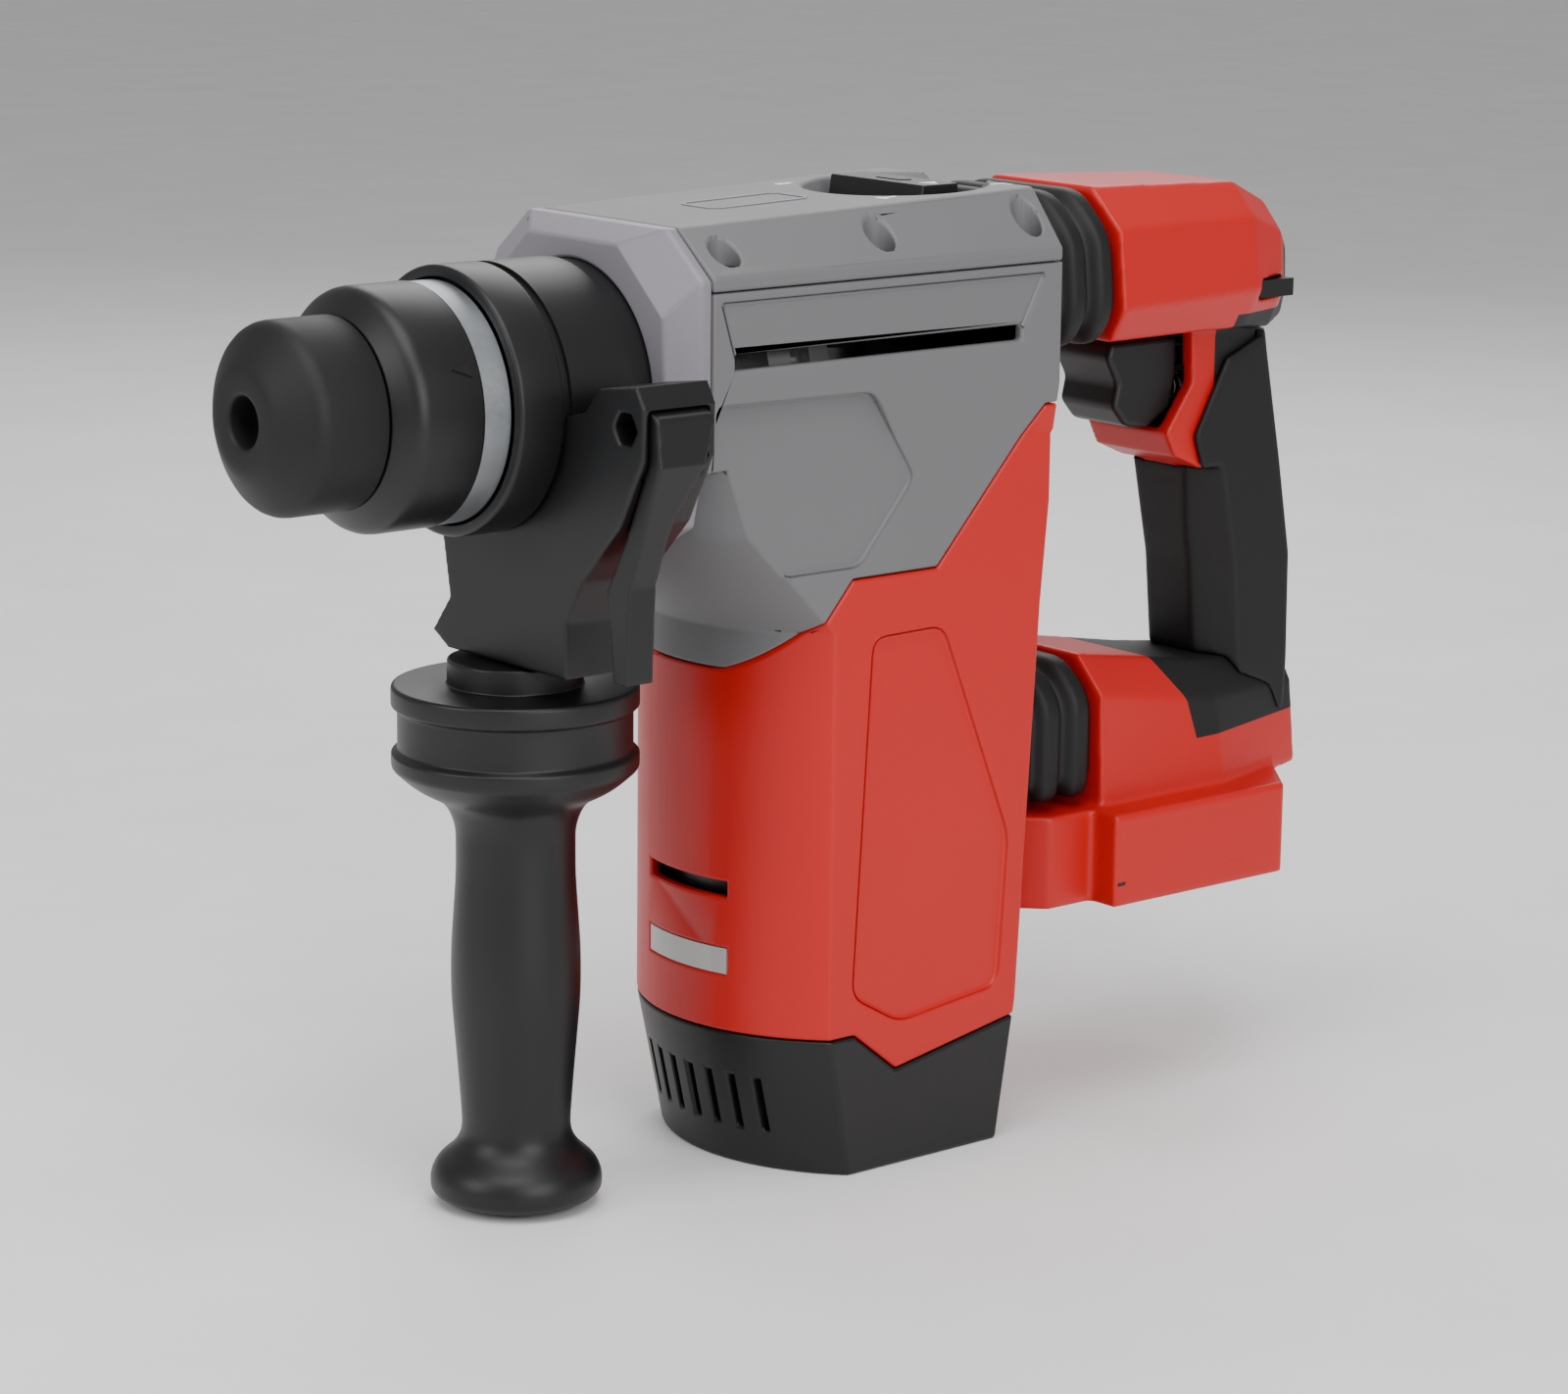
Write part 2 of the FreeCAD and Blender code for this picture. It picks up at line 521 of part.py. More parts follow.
def motor():
    x = size.motor_x
    pinion = spur_gear(PINION_TEETH, x, size.gear_top_z, size.gear_width)
    shaft = cylinder(size.rotor_shaft_radius, (x, 0, size.rotor_end_z), (0, 0, 1),
                     size.gear_top_z - size.gear_width - size.rotor_end_z)
    made("rotor_shaft", shaft.fuse(pinion))
    bore = size.rotor_shaft_radius + size.snug
    core_top = size.stator_top_z - 1
    core_length = size.stator_length - 2
    core = cylinder(size.rotor_radius, (x, 0, core_top - core_length), (0, 0, 1), core_length)
    made("rotor_core", core.cut(cylinder(bore, (x, 0, core_top - 60), (0, 0, 1), 80)))
    fan_low = size.fan_top_z - size.fan_length
    disc = cylinder(size.fan_radius, (x, 0, fan_low), (0, 0, 1), 1.6)
    hub = cylinder(8, (x, 0, fan_low), (0, 0, 1), size.fan_length)
    blades = []
    for index in range(11):
        blade = box(x + 7, x + size.fan_radius - 1, -0.6, 0.6, fan_low + 1, size.fan_top_z)
        blade.rotate(Vector(x, 0, 0), Vector(0, 0, 1), index * 360 / 11)
        blades.append(blade)
    fan = disc.fuse([hub] + blades)
    made("motor_fan", fan.cut(cylinder(bore, (x, 0, fan_low - 1), (0, 0, 1), size.fan_length + 2)))
    stator_low = size.stator_top_z - size.stator_length
    ring = cylinder(size.stator_radius, (x, 0, stator_low), (0, 0, 1), size.stator_length)
    made("stator", ring.cut(cylinder(size.stator_bore, (x, 0, stator_low - 1), (0, 0, 1),
                                     size.stator_length + 2)))
    bundles = []
    for low in (size.stator_top_z, stator_low - size.winding_length):
        bundle = cylinder(size.winding_outer, (x, 0, low), (0, 0, 1), size.winding_length)
        bundles.append(bundle.cut(cylinder(size.winding_inner, (x, 0, low - 1), (0, 0, 1),
                                           size.winding_length + 2)))
    made("windings", Part.makeCompound(bundles))
    bearings = []
    for top in (size.bracket_top_z, size.lower_bearing_z):
        low = top - size.motor_bearing_length
        bearing = cylinder(size.motor_bearing_radius, (x, 0, low), (0, 0, 1), size.motor_bearing_length)
        hole = cylinder(size.rotor_shaft_radius + size.running, (x, 0, low - 1), (0, 0, 1), 12)
        bearings.append(bearing.cut(hole))
    crank_low = size.plate_top_z - size.plate_thickness
    crank = cylinder(size.crank_bearing_radius, (size.crank_x, 0, crank_low), (0, 0, 1), size.plate_thickness)
    bearings.append(crank.cut(cylinder(size.crank_shaft_radius + size.running,
                                       (size.crank_x, 0, crank_low - 1), (0, 0, 1), 12)))
    made("shaft_bearings", Part.makeCompound(bearings))


# --- housings --------------------------------------------------------------------------

def column_section(z, apex_x, rear_x, half, inset=0.0):
    """Plan of the motor column at one height: a bowed front, flat sides and a flat back."""
    radius = size.column_arc - inset
    centre_x = apex_x - size.column_arc
    side = half - inset
    corner_x = centre_x + math.sqrt(radius ** 2 - side ** 2)
    rear = rear_x + inset
    arc = Part.Arc(Vector(corner_x, -side, z), Vector(centre_x + radius, 0, z),
                   Vector(corner_x, side, z)).toShape()
    corners = [Vector(corner_x, side, z), Vector(rear, side, z), Vector(rear, -side, z),
               Vector(corner_x, -side, z)]
    lines = [Part.makeLine(corners[index], corners[index + 1]) for index in range(3)]
    return Part.Wire([arc] + lines)


def column_solid(inset, bottom_lift=0.0):
    """The whole column from the belly to the sole, as ruled stretches between its stations."""
    half = size.column_half
    stations = [(size.belly_low_z, size.chest_x + 6.5, size.column_rear_top, half),
                (size.chest_z, size.chest_x, size.column_rear_top, half),
                (size.waist_z, size.waist_x, size.column_rear_waist, half),
                (size.boot_z, size.waist_x, size.column_rear_boot, half),
                (size.sole_z + bottom_lift, size.sole_x, size.sole_rear_x, size.sole_half)]
    wires = [column_section(z, apex, rear, width, inset) for z, apex, rear, width in stations]
    pieces = [Part.makeLoft(wires[index:index + 2], True, True) for index in range(len(wires) - 1)]
    return pieces[0].fuse(pieces[1:])


def upper_outline(inset, roof_z, roof_half):
    """Cross-section of the upper housing; the wall is kept by moving each side inwards."""
    return mirrored_outline([
        (roof_half - 0.4 * inset, roof_z - inset), (size.body_half - inset, size.shoulder_z - 0.5 * inset),
        (size.body_half - inset, size.belly_z), (size.column_half - inset, size.belly_low_z)])


def body_solid(inset, bottom_lift=0.0):
    front = size.front_x - size.front_length - size.seam_gap
    rear = size.body_rear_x + inset
    upper = ruled([[(front, y, z) for y, z in upper_outline(inset, size.roof_front_z, size.roof_half)],
                   [(rear, y, z) for y, z in upper_outline(inset, size.roof_z, size.roof_rear_half)]])
    column = column_solid(inset, bottom_lift)
    shave = box(front, front + 60, -60, 60, -80, 60)
    return upper.fuse(column).cut(shave)


def split_outline():
    """The line where grey meets red, seen from the side, closed far below."""
    return [(size.body_rear_x - 10, size.split_rear_z), (size.body_rear_x + 4, size.split_rear_z),
            (size.split_mid_x, size.split_mid_z), (size.split_front_x, size.split_mid_z),
            (size.split_curve_x, size.split_low_z), (-60, size.split_low_z), (-60, -260),
            (size.body_rear_x - 10, -260)]


def boot_outline():
    """Everything below the red housing: level all round, with a dip to a point on each side."""
    z = size.boot_z
    return [(-60, z), (size.waist_x - 25, z), (size.waist_x - 39, z - size.boot_dip),
            (size.column_rear_boot - 15, z - 1),
            (-260, z - 1), (-260, -260), (-60, -260)]


def screw_places():
    places = []
    for index in range(3):
        for side in (1, -1):
            places.append((size.screw_first_x - index * size.screw_pitch, side * size.screw_y))
    return places


def housings():
    outer = body_solid(0.0)
    inner = body_solid(size.wall, 2 * size.wall)
    shell = outer.cut(inner)
    seam = size.seam_z
    lift = size.seam_gap / 2
    low_side = side_prism(split_outline(), -80, 80)
    boot_side = side_prism(boot_outline(), -80, 80)
    above = box(-260, 0, -80, 80, seam, 80)
    # the grey middle housing, with its slits, screw bosses and the dampers' sockets
    grey = shell.cut(above).cut(low_side)
    bosses = []
    for x, y in screw_places():
        inward = -1 if y > 0 else 1
        wall_y = math.copysign(size.body_half - 0.5, y)
        edge = y + inward * size.boss_radius
        boss = box(x - size.boss_radius, x + size.boss_radius, min(edge, wall_y), max(edge, wall_y), 11.5,
                   seam)
        bosses.append(boss.common(outer))
    grey = grey.fuse(bosses)
    cuts = [box(size.slit_rear_x, size.slit_front_x, -80, 80, size.slit_z, size.slit_z + size.slit_height),
            cylinder(size.rod_radius + size.snug, (size.body_rear_x - 5, 0, size.upper_rod_z), (1, 0, 0), 40)]
    for x, y in screw_places():
        cuts.append(cylinder(size.screw_radius + size.snug, (x, y, 0), (0, 0, 1), 40))
    made("gear_housing", grey.cut(cuts))
    # the roof, with the dial's dish and the screw holes
    dish_top = size.roof_z - 0.7
    cup = cylinder(size.dish_radius + 2, (size.dial_x, 0, dish_top - size.dish_depth - size.wall), (0, 0, 1),
                   size.dish_depth + size.wall)
    roof = shell.common(above).fuse(cup.common(outer))
    dish = Part.makeCone(size.dish_floor_radius, size.dish_radius, size.dish_depth,
                         Vector(size.dial_x, 0, dish_top - size.dish_depth), Vector(0, 0, 1))
    shaft_hole = cylinder(size.dial_shaft_radius + size.running, (size.dial_x, 0, 0), (0, 0, 1), 80)
    mouth = cylinder(size.dish_radius, (size.dial_x, 0, dish_top), (0, 0, 1), 6)
    roof_cuts = [dish, mouth, shaft_hole, box(-260, 0, -80, 80, seam - 1, seam + size.seam_gap)]
    for x, y in screw_places():
        roof_cuts.append(cylinder(size.screw_hole_radius, (x, y, size.screw_head_z - 2), (0, 0, 1), 40))
    seats = []
    for x, y in screw_places():
        seat = cylinder(size.boss_radius, (x, y, seam + size.seam_gap), (0, 0, 1), 40).common(outer)
        drill = cylinder(size.screw_hole_radius, (x, y, size.screw_head_z), (0, 0, 1), 40)
        core = cylinder(size.screw_radius + size.snug, (x, y, 0), (0, 0, 1), 80)
        seats.append(seat.cut([drill, core]))
    made("top_cover", roof.cut(roof_cuts).fuse(seats))
    # the red motor housing, with its front vent and lens slot
    red = shell.common(low_side).cut(boot_side)
    raised = low_side.copy()
    raised.translate(Vector(0, 0, -size.seam_gap))
    red = red.common(raised)
    vent = box(size.waist_x - 25, size.waist_x + 5, -size.lens_half, size.lens_half,
               size.vent_top_z - size.vent_height, size.vent_top_z)
    lens_slot = box(size.waist_x - 25, size.waist_x + 5, -size.lens_half - 0.1, size.lens_half + 0.1,
                    size.lens_top_z - size.lens_height - 0.1, size.lens_top_z + 0.1)
    damper_hole = cylinder(size.rod_radius + size.snug, (size.body_rear_x - 5, 0, size.lower_rod_z),
                           (1, 0, 0), 20)
    made("motor_housing", red.cut([vent, lens_slot, damper_hole]))
    lens_zone = box(size.waist_x - 25, size.waist_x + 5, -size.lens_half, size.lens_half,
                    size.lens_top_z - size.lens_height, size.lens_top_z)
    lens_band = body_solid(0.2).cut(body_solid(0.2 + size.lens_depth))
    made("led_lens", lens_band.common(lens_zone))
    # the boot: a cup with a bearing post and front vents
    dropped = boot_side.copy()
    dropped.translate(Vector(0, 0, -size.seam_gap))
    boot = shell.common(dropped)
    post_top = size.lower_bearing_z
    seat_z = size.lower_bearing_z - size.motor_bearing_length
    post = cylinder(size.motor_bearing_radius + 3, (size.motor_x, 0, size.sole_z + 1), (0, 0, 1),
                    post_top - size.sole_z - 1)
    boot = boot.fuse(post)
    boot_cuts = [cylinder(size.motor_bearing_radius + size.snug, (size.motor_x, 0, seat_z), (0, 0, 1), 40),
                 cylinder(size.rotor_shaft_radius + 1, (size.motor_x, 0, size.rotor_end_z - 3), (0, 0, 1),
                          40)]
    for index in range(-3, 4):
        boot_cuts.append(box(size.waist_x - 20, size.waist_x + 8, index * 7.0 - 1.1, index * 7.0 + 1.1,
                             -188.0, -174.0))
    made("motor_boot", boot.cut(boot_cuts))


def front_housing():
    front = size.front_x
    rear = size.front_x - size.front_length
    full = mirrored_outline([(size.roof_half, size.roof_front_z), (size.body_half, size.shoulder_z - 0.5),
                             (size.body_half, size.belly_z), (34.0, -30.0), (20.0, -38.0)])
    small = mirrored_outline([(17.0, size.roof_front_z - 4.0), (size.body_half - 5.5, size.shoulder_z - 9),
                              (size.body_half - 4.5, size.belly_z - 1), (30.0, -27.0), (18.0, -35.0)])
    middle_x = front - size.front_bevel
    bevel = ruled([[(front, y, z) for y, z in small], [(middle_x, y, z) for y, z in full]])
    block = section_prism(full, middle_x, rear)
    ring = bevel.fuse(block)
    made("front_housing", ring.cut(cylinder(size.neck_radius + size.snug, (rear - 1, 0, 0), (1, 0, 0), 20)))


def housing_screws():
    screws = []
    for x, y in screw_places():
        head = cylinder(size.screw_head_radius, (x, y, size.screw_head_z), (0, 0, 1), size.screw_head_length)
        shank = cylinder(size.screw_radius, (x, y, size.screw_head_z - size.screw_length), (0, 0, 1),
                         size.screw_length)
        recess = cylinder(1.5, (x, y, size.screw_head_z + size.screw_head_length - 2), (0, 0, 1), 3)
        screws.append(head.fuse(shank).cut(recess))
    made("housing_screws", Part.makeCompound(screws))


def mode_dial():
    floor = size.roof_z - 0.7 - size.dish_depth
    x = size.dial_x
    disc = cylinder(size.dial_radius, (x, 0, floor + size.gap), (0, 0, 1), size.dial_disc)
    top = floor + size.gap + size.dial_bar_height
    half = size.dial_bar_half
    bar = side_prism([(x - half, floor + 1), (x + half, floor + 1), (x + half - 1.5, top),
                      (x - half + 1.5, top)],
                     -size.dial_radius + 1.5, size.dial_radius - 1.5)
    bar = bar.common(cylinder(size.dial_radius - 0.5, (x, 0, floor), (0, 0, 1), 20))
    shaft = cylinder(size.dial_shaft_radius, (x, 0, floor + 1 - size.dial_shaft_length), (0, 0, 1),
                     size.dial_shaft_length)
    knob = disc.fuse([bar, shaft])
    slot = oval(x, size.dial_button_half + 0.2, size.dial_button_radius + 0.2, top - 4.2, 6)
    made("mode_dial", knob.cut(slot))
    made("mode_button", oval(x, size.dial_button_half, size.dial_button_radius, top - 2.8, 3.0))


def oval(x, half, radius, z, height):
    """A rounded bar standing along Z, long in y."""
    middle = box(x - radius, x + radius, -half, half, z, z + height)
    ends = [cylinder(radius, (x, side * half, z), (0, 0, 1), height) for side in (1, -1)]
    return middle.fuse(ends)


# --- damped handle ---------------------------------------------------------------------

def bellows(label, front_x, rear_x, crest, groove, inner):
    """A rubber bellows of three ribs between two ends, as stacked slabs with one bore."""
    slabs = 7
    length = (front_x - rear_x) / slabs
    pieces = []
    for index in range(slabs):
        outline = crest if index % 2 == 0 else groove
        pieces.append(section_prism(outline, front_x - index * length, front_x - (index + 1) * length))
    solid = pieces[0].fuse(pieces[1:])
    made(label, solid.cut(section_prism(inner, front_x + 1, rear_x - 1)))


def block_outline(grow):
    """Section of the upper handle block and its bellows."""
    return mirrored_outline([(18.5 + 0.5 * grow, 40.0 + grow), (29.5 + grow, 29.5 + 0.5 * grow),
                             (31.5 + grow, 10.0),
                             (26.0 + grow, 1.0 - grow)])


def lower_outline(grow):
    return mirrored_outline([(17.0 + 0.5 * grow, -81.0 + grow), (26.5 + grow, -90.0 + 0.5 * grow),
                             (26.5 + grow, -117.0 - grow)])


def grip_envelope(half, inset):
    """The chamfered outside of the grip, from under the upper block down to the lower one."""
    chamfer = 9.0

    def ring(z, front, rear):
        return [(front, half - chamfer, z), (front - chamfer, half, z), (rear + chamfer, half, z),
                (rear, half - chamfer, z), (rear, chamfer - half, z), (rear + chamfer, -half, z),
                (front - chamfer, -half, z), (front, chamfer - half, z)]

    stations = [(-37.0, -279.0, -317.5), (-63.0, -284.5, -322.3), (-92.0, -287.3, -322.8),
                (-115.0, -287.3, -322.0)]
    lower = ruled([ring(z, front - inset, rear + inset) for z, front, rear in stations])
    stations = [(6.0, -245.0, -309.0), (-8.0, -245.0, -311.5), (-37.0, -245.0, -317.5)]
    upper = ruled([ring(z, front, rear + inset) for z, front, rear in stations])
    return lower.fuse(upper)


def handle_core(inset=0.0):
    """The red handle as one solid: upper block, grip stem, lower block and battery foot."""
    front = size.handle_front_x - inset
    upper = ruled([
        [(front, y, z) for y, z in mirrored_outline([(18.5 - 0.5 * inset, 40.5 - inset),
                                                     (29.7 - inset, 30.0 - 0.5 * inset),
                                                     (32.0 - inset, 10.0), (27.0 - inset, 1.5 + inset)])],
        [(-289.0, y, z) for y, z in mirrored_outline([(15.5 - 0.5 * inset, 38.5 - inset),
                                                      (24.5 - inset, 29.5 - 0.5 * inset),
                                                      (26.5 - inset, 11.0), (21.0 - inset, 0.5 + inset)])],
        [(-303.5, y, z) for y, z in mirrored_outline([(12.5 - 0.5 * inset, 32.5 - inset),
                                                      (20.0 - inset, 24.5 - 0.5 * inset),
                                                      (21.0 - inset, 10.0), (16.0 - inset, -1.0 + inset)])],
        [(-314.0 + inset, y, z) for y, z in mirrored_outline([(8.0 - 0.5 * inset, 24.5 - inset),
            (11.5 - inset, 19.0 - 0.5 * inset),
                                                              (12.0 - inset, 8.0), (10.5 - inset,
                                                                  1.0 + inset)])]])
    stem = side_prism([(-276.0 - inset, 5.0), (-277.0 - inset, -14.0), (-268.0 - inset, -26.5 - inset),
                       (-271.5 - inset, -33.0),
                       (-281.0 - inset, -37.0), (-286.5 - inset, -63.0), (-289.3 - inset, -92.0),
                       (-320.5 + inset, -92.0),
                       (-320.5 + inset, -66.0), (-313.0 + inset, -30.0), (-308.0 + inset, 5.0)],
                      -size.grip_half + inset, size.grip_half - inset)
    stem = stem.common(grip_envelope(size.grip_half - inset, size.grip_skin + inset))
    lower = ruled([
        [(front, y, z) for y, z in mirrored_outline([(17.5 - 0.5 * inset, -80.5 - inset),
                                                     (27.0 - inset, -90.0),
                                                     (28.5 - inset, size.foot_top_z - 2.0 * (inset == 0))])],
        [(-280.0, y, z) for y, z in mirrored_outline([(16.0 - 0.5 * inset, -88.0 - inset),
                                                      (24.0 - inset, -97.0),
                                                      (28.5 - inset, size.foot_top_z - 2.0 * (inset == 0))])],
        [(-320.0 + inset, y, z) for y, z in mirrored_outline([(9.0 - 0.5 * inset, -92.0 - inset),
            (13.5 - inset, -99.0),
                                                              (16.0 - inset,
                                                               size.foot_top_z - 2.0 * (inset == 0))])]])
    wide = size.foot_half - inset
    block = size.foot_block_half - inset
    plan = [(size.foot_block_x - inset, -block + 9), (size.foot_block_x - 9, -block),
            (size.foot_front_x - inset, -block),
            (size.foot_front_x - inset, -wide), (size.foot_rear_x + inset, -wide),
            (size.foot_tail_x + inset, -12),
            (size.foot_tail_x + inset, 12), (size.foot_rear_x + inset, wide),
            (size.foot_front_x - inset, wide),
            (size.foot_front_x - inset, block), (size.foot_block_x - 9, block),
            (size.foot_block_x - inset, block - 9)]
    foot = prism([(x, y, size.foot_bottom_z - (1.0 if inset else 0.0)) for x, y in plan],
                 (0, 0, size.foot_top_z - size.foot_bottom_z - inset + (1.0 if inset else 0.0)))
    return upper.fuse([stem, lower, foot])


def handle_shells():
    core = handle_core().cut(handle_core(size.handle_wall))
    trigger_room = box(-288.0, -240.0, -size.trigger_half - 0.5, size.trigger_half + 0.5, -26.0, 3.0)
    selector_hole = box(size.selector_x - size.selector_half_length - 0.3,
                        size.selector_x + size.selector_half_length + 0.3, -40, 40,
                        size.selector_z - size.selector_half_height - 0.3,
                        size.selector_z + size.selector_half_height + 0.3)
    bosses = []
    holes = []
    for z in (size.upper_rod_z, size.lower_rod_z):
        bosses.append(cylinder(size.rod_radius + 3, (size.handle_front_x - size.rod_depth - 3, 0, z),
                               (1, 0, 0), size.rod_depth + 3))
        holes.append(cylinder(size.rod_radius + size.running,
                              (size.handle_front_x - size.rod_depth - 1, 0, z), (1, 0, 0), 40))
    lips = []
    for side in (1, -1):
        wall_y = side * (size.foot_half - 1)
        lip_y = side * (size.foot_half - size.handle_wall - size.rail_lip)
        lips.append(box(size.foot_rear_x + 4, size.foot_front_x - 4, min(wall_y, lip_y), max(wall_y, lip_y),
                        size.foot_bottom_z + 3, size.foot_bottom_z + 6))
    bodies = core.cut([trigger_room, selector_hole]).fuse(bosses + lips)
    screw_shapes = []
    for x, z in handle_screw_places():
        bosses_y = cylinder(4.5, (x, -40, z), (0, 1, 0), 80).common(handle_core())
        bodies = bodies.fuse(bosses_y)
        holes.append(cylinder(size.screw_radius + size.snug, (x, 12, z), (0, -1, 0), 60))
        holes.append(cylinder(3.6, (x, -9, z), (0, -1, 0), 60))
        head = cylinder(3.2, (x, -9.1, z), (0, -1, 0), 3.0)
        shank = cylinder(size.screw_radius, (x, 11, z), (0, -1, 0), 21)
        socket = cylinder(1.5, (x, -10.6, z), (0, -1, 0), 3)
        screw_shapes.append(head.fuse(shank).cut(socket))
    bodies = bodies.cut(holes)
    gap = size.handle_gap / 2
    made("handle_left_shell", bodies.common(box(-400, 0, gap, 80, -220, 80)))
    made("handle_right_shell", bodies.common(box(-400, 0, -80, -gap, -220, 80)))
    made("handle_screws", Part.makeCompound(screw_shapes))


def handle_screw_places():
    return [(-262.0, 29.0), (-297.0, 22.0), (-301.0, -45.0), (-304.0, -86.0), (-250.0, -112.0)]


def grip_overmould():
    """The black skin on the grip: an even sleeve round the stem, open where the stem is hidden."""
    skin = size.grip_skin
    outer = side_prism([(-277.0, -28.0), (-280.5, -37.5), (-284.0, -63.0), (-286.8, -87.0),
                        (-300.0, -109.0), (-325.0, -103.0), (-325.0, -60.0), (-320.0, -30.0), (-312.5, -2.0),
                        (-300.0, -3.0), (-288.0, -8.0)], -size.grip_half - size.grip_skin,
                        size.grip_half + size.grip_skin)
    outer = outer.common(grip_envelope(size.grip_half + size.grip_skin, 0.0))
    made("grip_overmould", outer.cut(handle_core(-0.1)))


def trigger_group():
    half = size.trigger_half
    top = size.trigger_top_z
    shape = side_prism([(-252.0, top), (-250.5, -6.0), (-254.5, -13.0), (-253.0, -19.0), (-258.0, -24.5),
                        (-266.0, -25.4),
                        (-274.0, -21.0), (-276.0, -12.0), (-276.0, top)], -half, half)
    made("trigger", shape)
    switch = box(-296.5, -288.0, -12.3, 12.3, -24.0, -6.0).fuse(box(-302.0, -296.0, -6.5, 6.5, -24.0, -6.0))
    made("switch_body", switch.fuse(cylinder(2.5, (-289.0, 0, -9.0), (1, 0, 0), 5.4)))
    made("trigger_spring", coil(-276.3, -287.7, 3.4, 0.8, 5, 0.0, -17.0))
    bar = box(size.selector_x - size.selector_half_length, size.selector_x + size.selector_half_length,
              -size.selector_reach, size.selector_reach, size.selector_z - size.selector_half_height,
              size.selector_z + size.selector_half_height)
    made("direction_selector", bar)
    made("terminal_block", box(-290.0, -262.0, -14.0, 14.0, -135.0, -123.0))


def dampers():
    rods = []
    springs = []
    for z, wall_x in ((size.upper_rod_z, size.body_rear_x), (size.lower_rod_z, size.column_rear_boot - 4.0)):
        rods.append(cylinder(size.rod_radius, (size.handle_front_x - size.rod_depth + 6, 0, z), (1, 0, 0),
                             wall_x - size.handle_front_x + size.rod_depth - 6 + size.wall))
        springs.append(coil(wall_x - 0.6, size.handle_front_x + 0.6, 6.0, 1.6, 5, 0.0, z))
    made("damper_rods", Part.makeCompound(rods))
    made("damper_springs", Part.makeCompound(springs))


def handle_bellows():
    gap = size.bellows_gap
    bellows("upper_bellows", size.body_rear_x - gap, size.handle_front_x + gap, block_outline(0.0),
            block_outline(-2.6), block_outline(-5.0))
    bellows("lower_bellows", size.column_rear_waist - gap, size.handle_front_x + gap, lower_outline(0.0),
            lower_outline(-2.6), lower_outline(-5.0))


# --- side handle -----------------------------------------------------------------------

def clamp_outline():
    return [(31.0, -62.5), (31.5, -49.0), (36.5, -39.0), (51.0, -24.0), (59.5, -8.0), (60.0, 4.0),
            (57.0, 9.0), (43.0, 7.0),
            (38.0, 1.0), (30.0, -1.0), (-26.0, -18.0), (-18.0, -34.0), (-15.0, -50.0), (-22.0, -59.0),
            (-16.0, -62.5)]


def clamp_body():
    front = size.clamp_front_x
    rear = front - size.clamp_length
    block = section_prism([(31.0 if y == 31.5 else y, z) for y, z in clamp_outline()], front, rear)
    saddle = cylinder(size.neck_radius + size.snug, (rear - 1, 0, 0), (1, 0, 0), size.clamp_length + 2)
    hexagon = []
    for index in range(6):
        angle = math.radians(60 * index)
        hexagon.append((size.rod_hole_y + size.rod_hole_flat * math.cos(angle),
                        size.rod_hole_z + size.rod_hole_flat * math.sin(angle)))
    cuts = [saddle, section_prism(hexagon, front + 1, rear - 1),
            cylinder(size.clamp_stud_radius + 0.3, (size.clamp_x, 0, -70), (0, 0, 1), 45)]
    pressed = lever_blank(size.lever_gap)
    pressed.rotate(Vector(0, size.pivot_y, size.pivot_z), Vector(1, 0, 0), -size.lever_swing)
    pin = cylinder(size.pivot_radius, (rear, size.pivot_y, size.pivot_z), (1, 0, 0), size.clamp_length)
    made("clamp_body", block.cut(cuts + [lever_blank(size.lever_gap), pressed]).fuse(pin))


def lever_outline():
    """The depth-stop lever, seen along the spindle: a bent finger plate outside the clamp."""
    return [(46.0, -61.0), (45.0, -49.0), (43.5, -40.0), (50.5, -27.0), (57.0, -12.0),
            (57.5, 4.0), (62.0, 2.0), (63.0, -9.0), (57.0, -25.0), (52.0, -38.0), (51.0, -61.0)]


def grown(outline, distance):
    """The same outline with every side moved outwards."""
    corners = [Vector(0, y, z) for y, z in outline]
    face = Part.Face(Part.makePolygon(corners + corners[:1]))
    wire = face.makeOffset2D(distance, 2).OuterWire
    return [(vertex.Y, vertex.Z) for vertex in wire.OrderedVertexes]


def lever_blank(gap=0.0):
    """The lever before its pivot hole; with a gap, the room that it needs in the clamp."""
    front = size.lever_front_x + gap
    rear = size.lever_front_x - size.lever_length - gap
    outline = grown(lever_outline(), size.gap) if gap else lever_outline()
    plate = section_prism(outline, front, rear)
    low = size.lever_length - 8.5
    side = side_prism([(front, 12), (rear, 12), (rear, 0), (rear + 4.0, -12), (rear + 8.0, -22),
                       (front - low - 2 * gap, -28), (front - low - 2 * gap, -70), (front, -70)], -90, 90)
    lug = cylinder(size.lug_radius + gap, (rear, size.pivot_y, size.pivot_z), (1, 0, 0), front - rear)
    return plate.common(side).fuse(lug)


def depth_lever():
    hole = cylinder(size.pivot_radius + size.running, (-100, size.pivot_y, size.pivot_z), (1, 0, 0), 60)
    made("depth_lever", lever_blank().cut(hole))


def clamp_band():
    inner = size.neck_radius + size.snug
    outer = inner + size.band_thickness
    x_rear = size.clamp_front_x - size.clamp_length + 1.5
    length = size.clamp_length - 3.0
    band = cylinder(outer, (x_rear, 0, 0), (1, 0, 0),
                    length).cut(cylinder(inner, (x_rear - 1, 0, 0), (1, 0, 0), length + 2))
    clamp_zone = section_prism([(y, z) for y, z in clamp_outline()], size.clamp_front_x + 5, x_rear - 10)
    made("clamp_band", band.cut(clamp_zone))
    stud = cylinder(size.clamp_stud_radius, (size.clamp_x, 0, -120), (0, 0, 1), 120 - size.neck_radius - 1.2)
    made("clamp_bolt", stud)


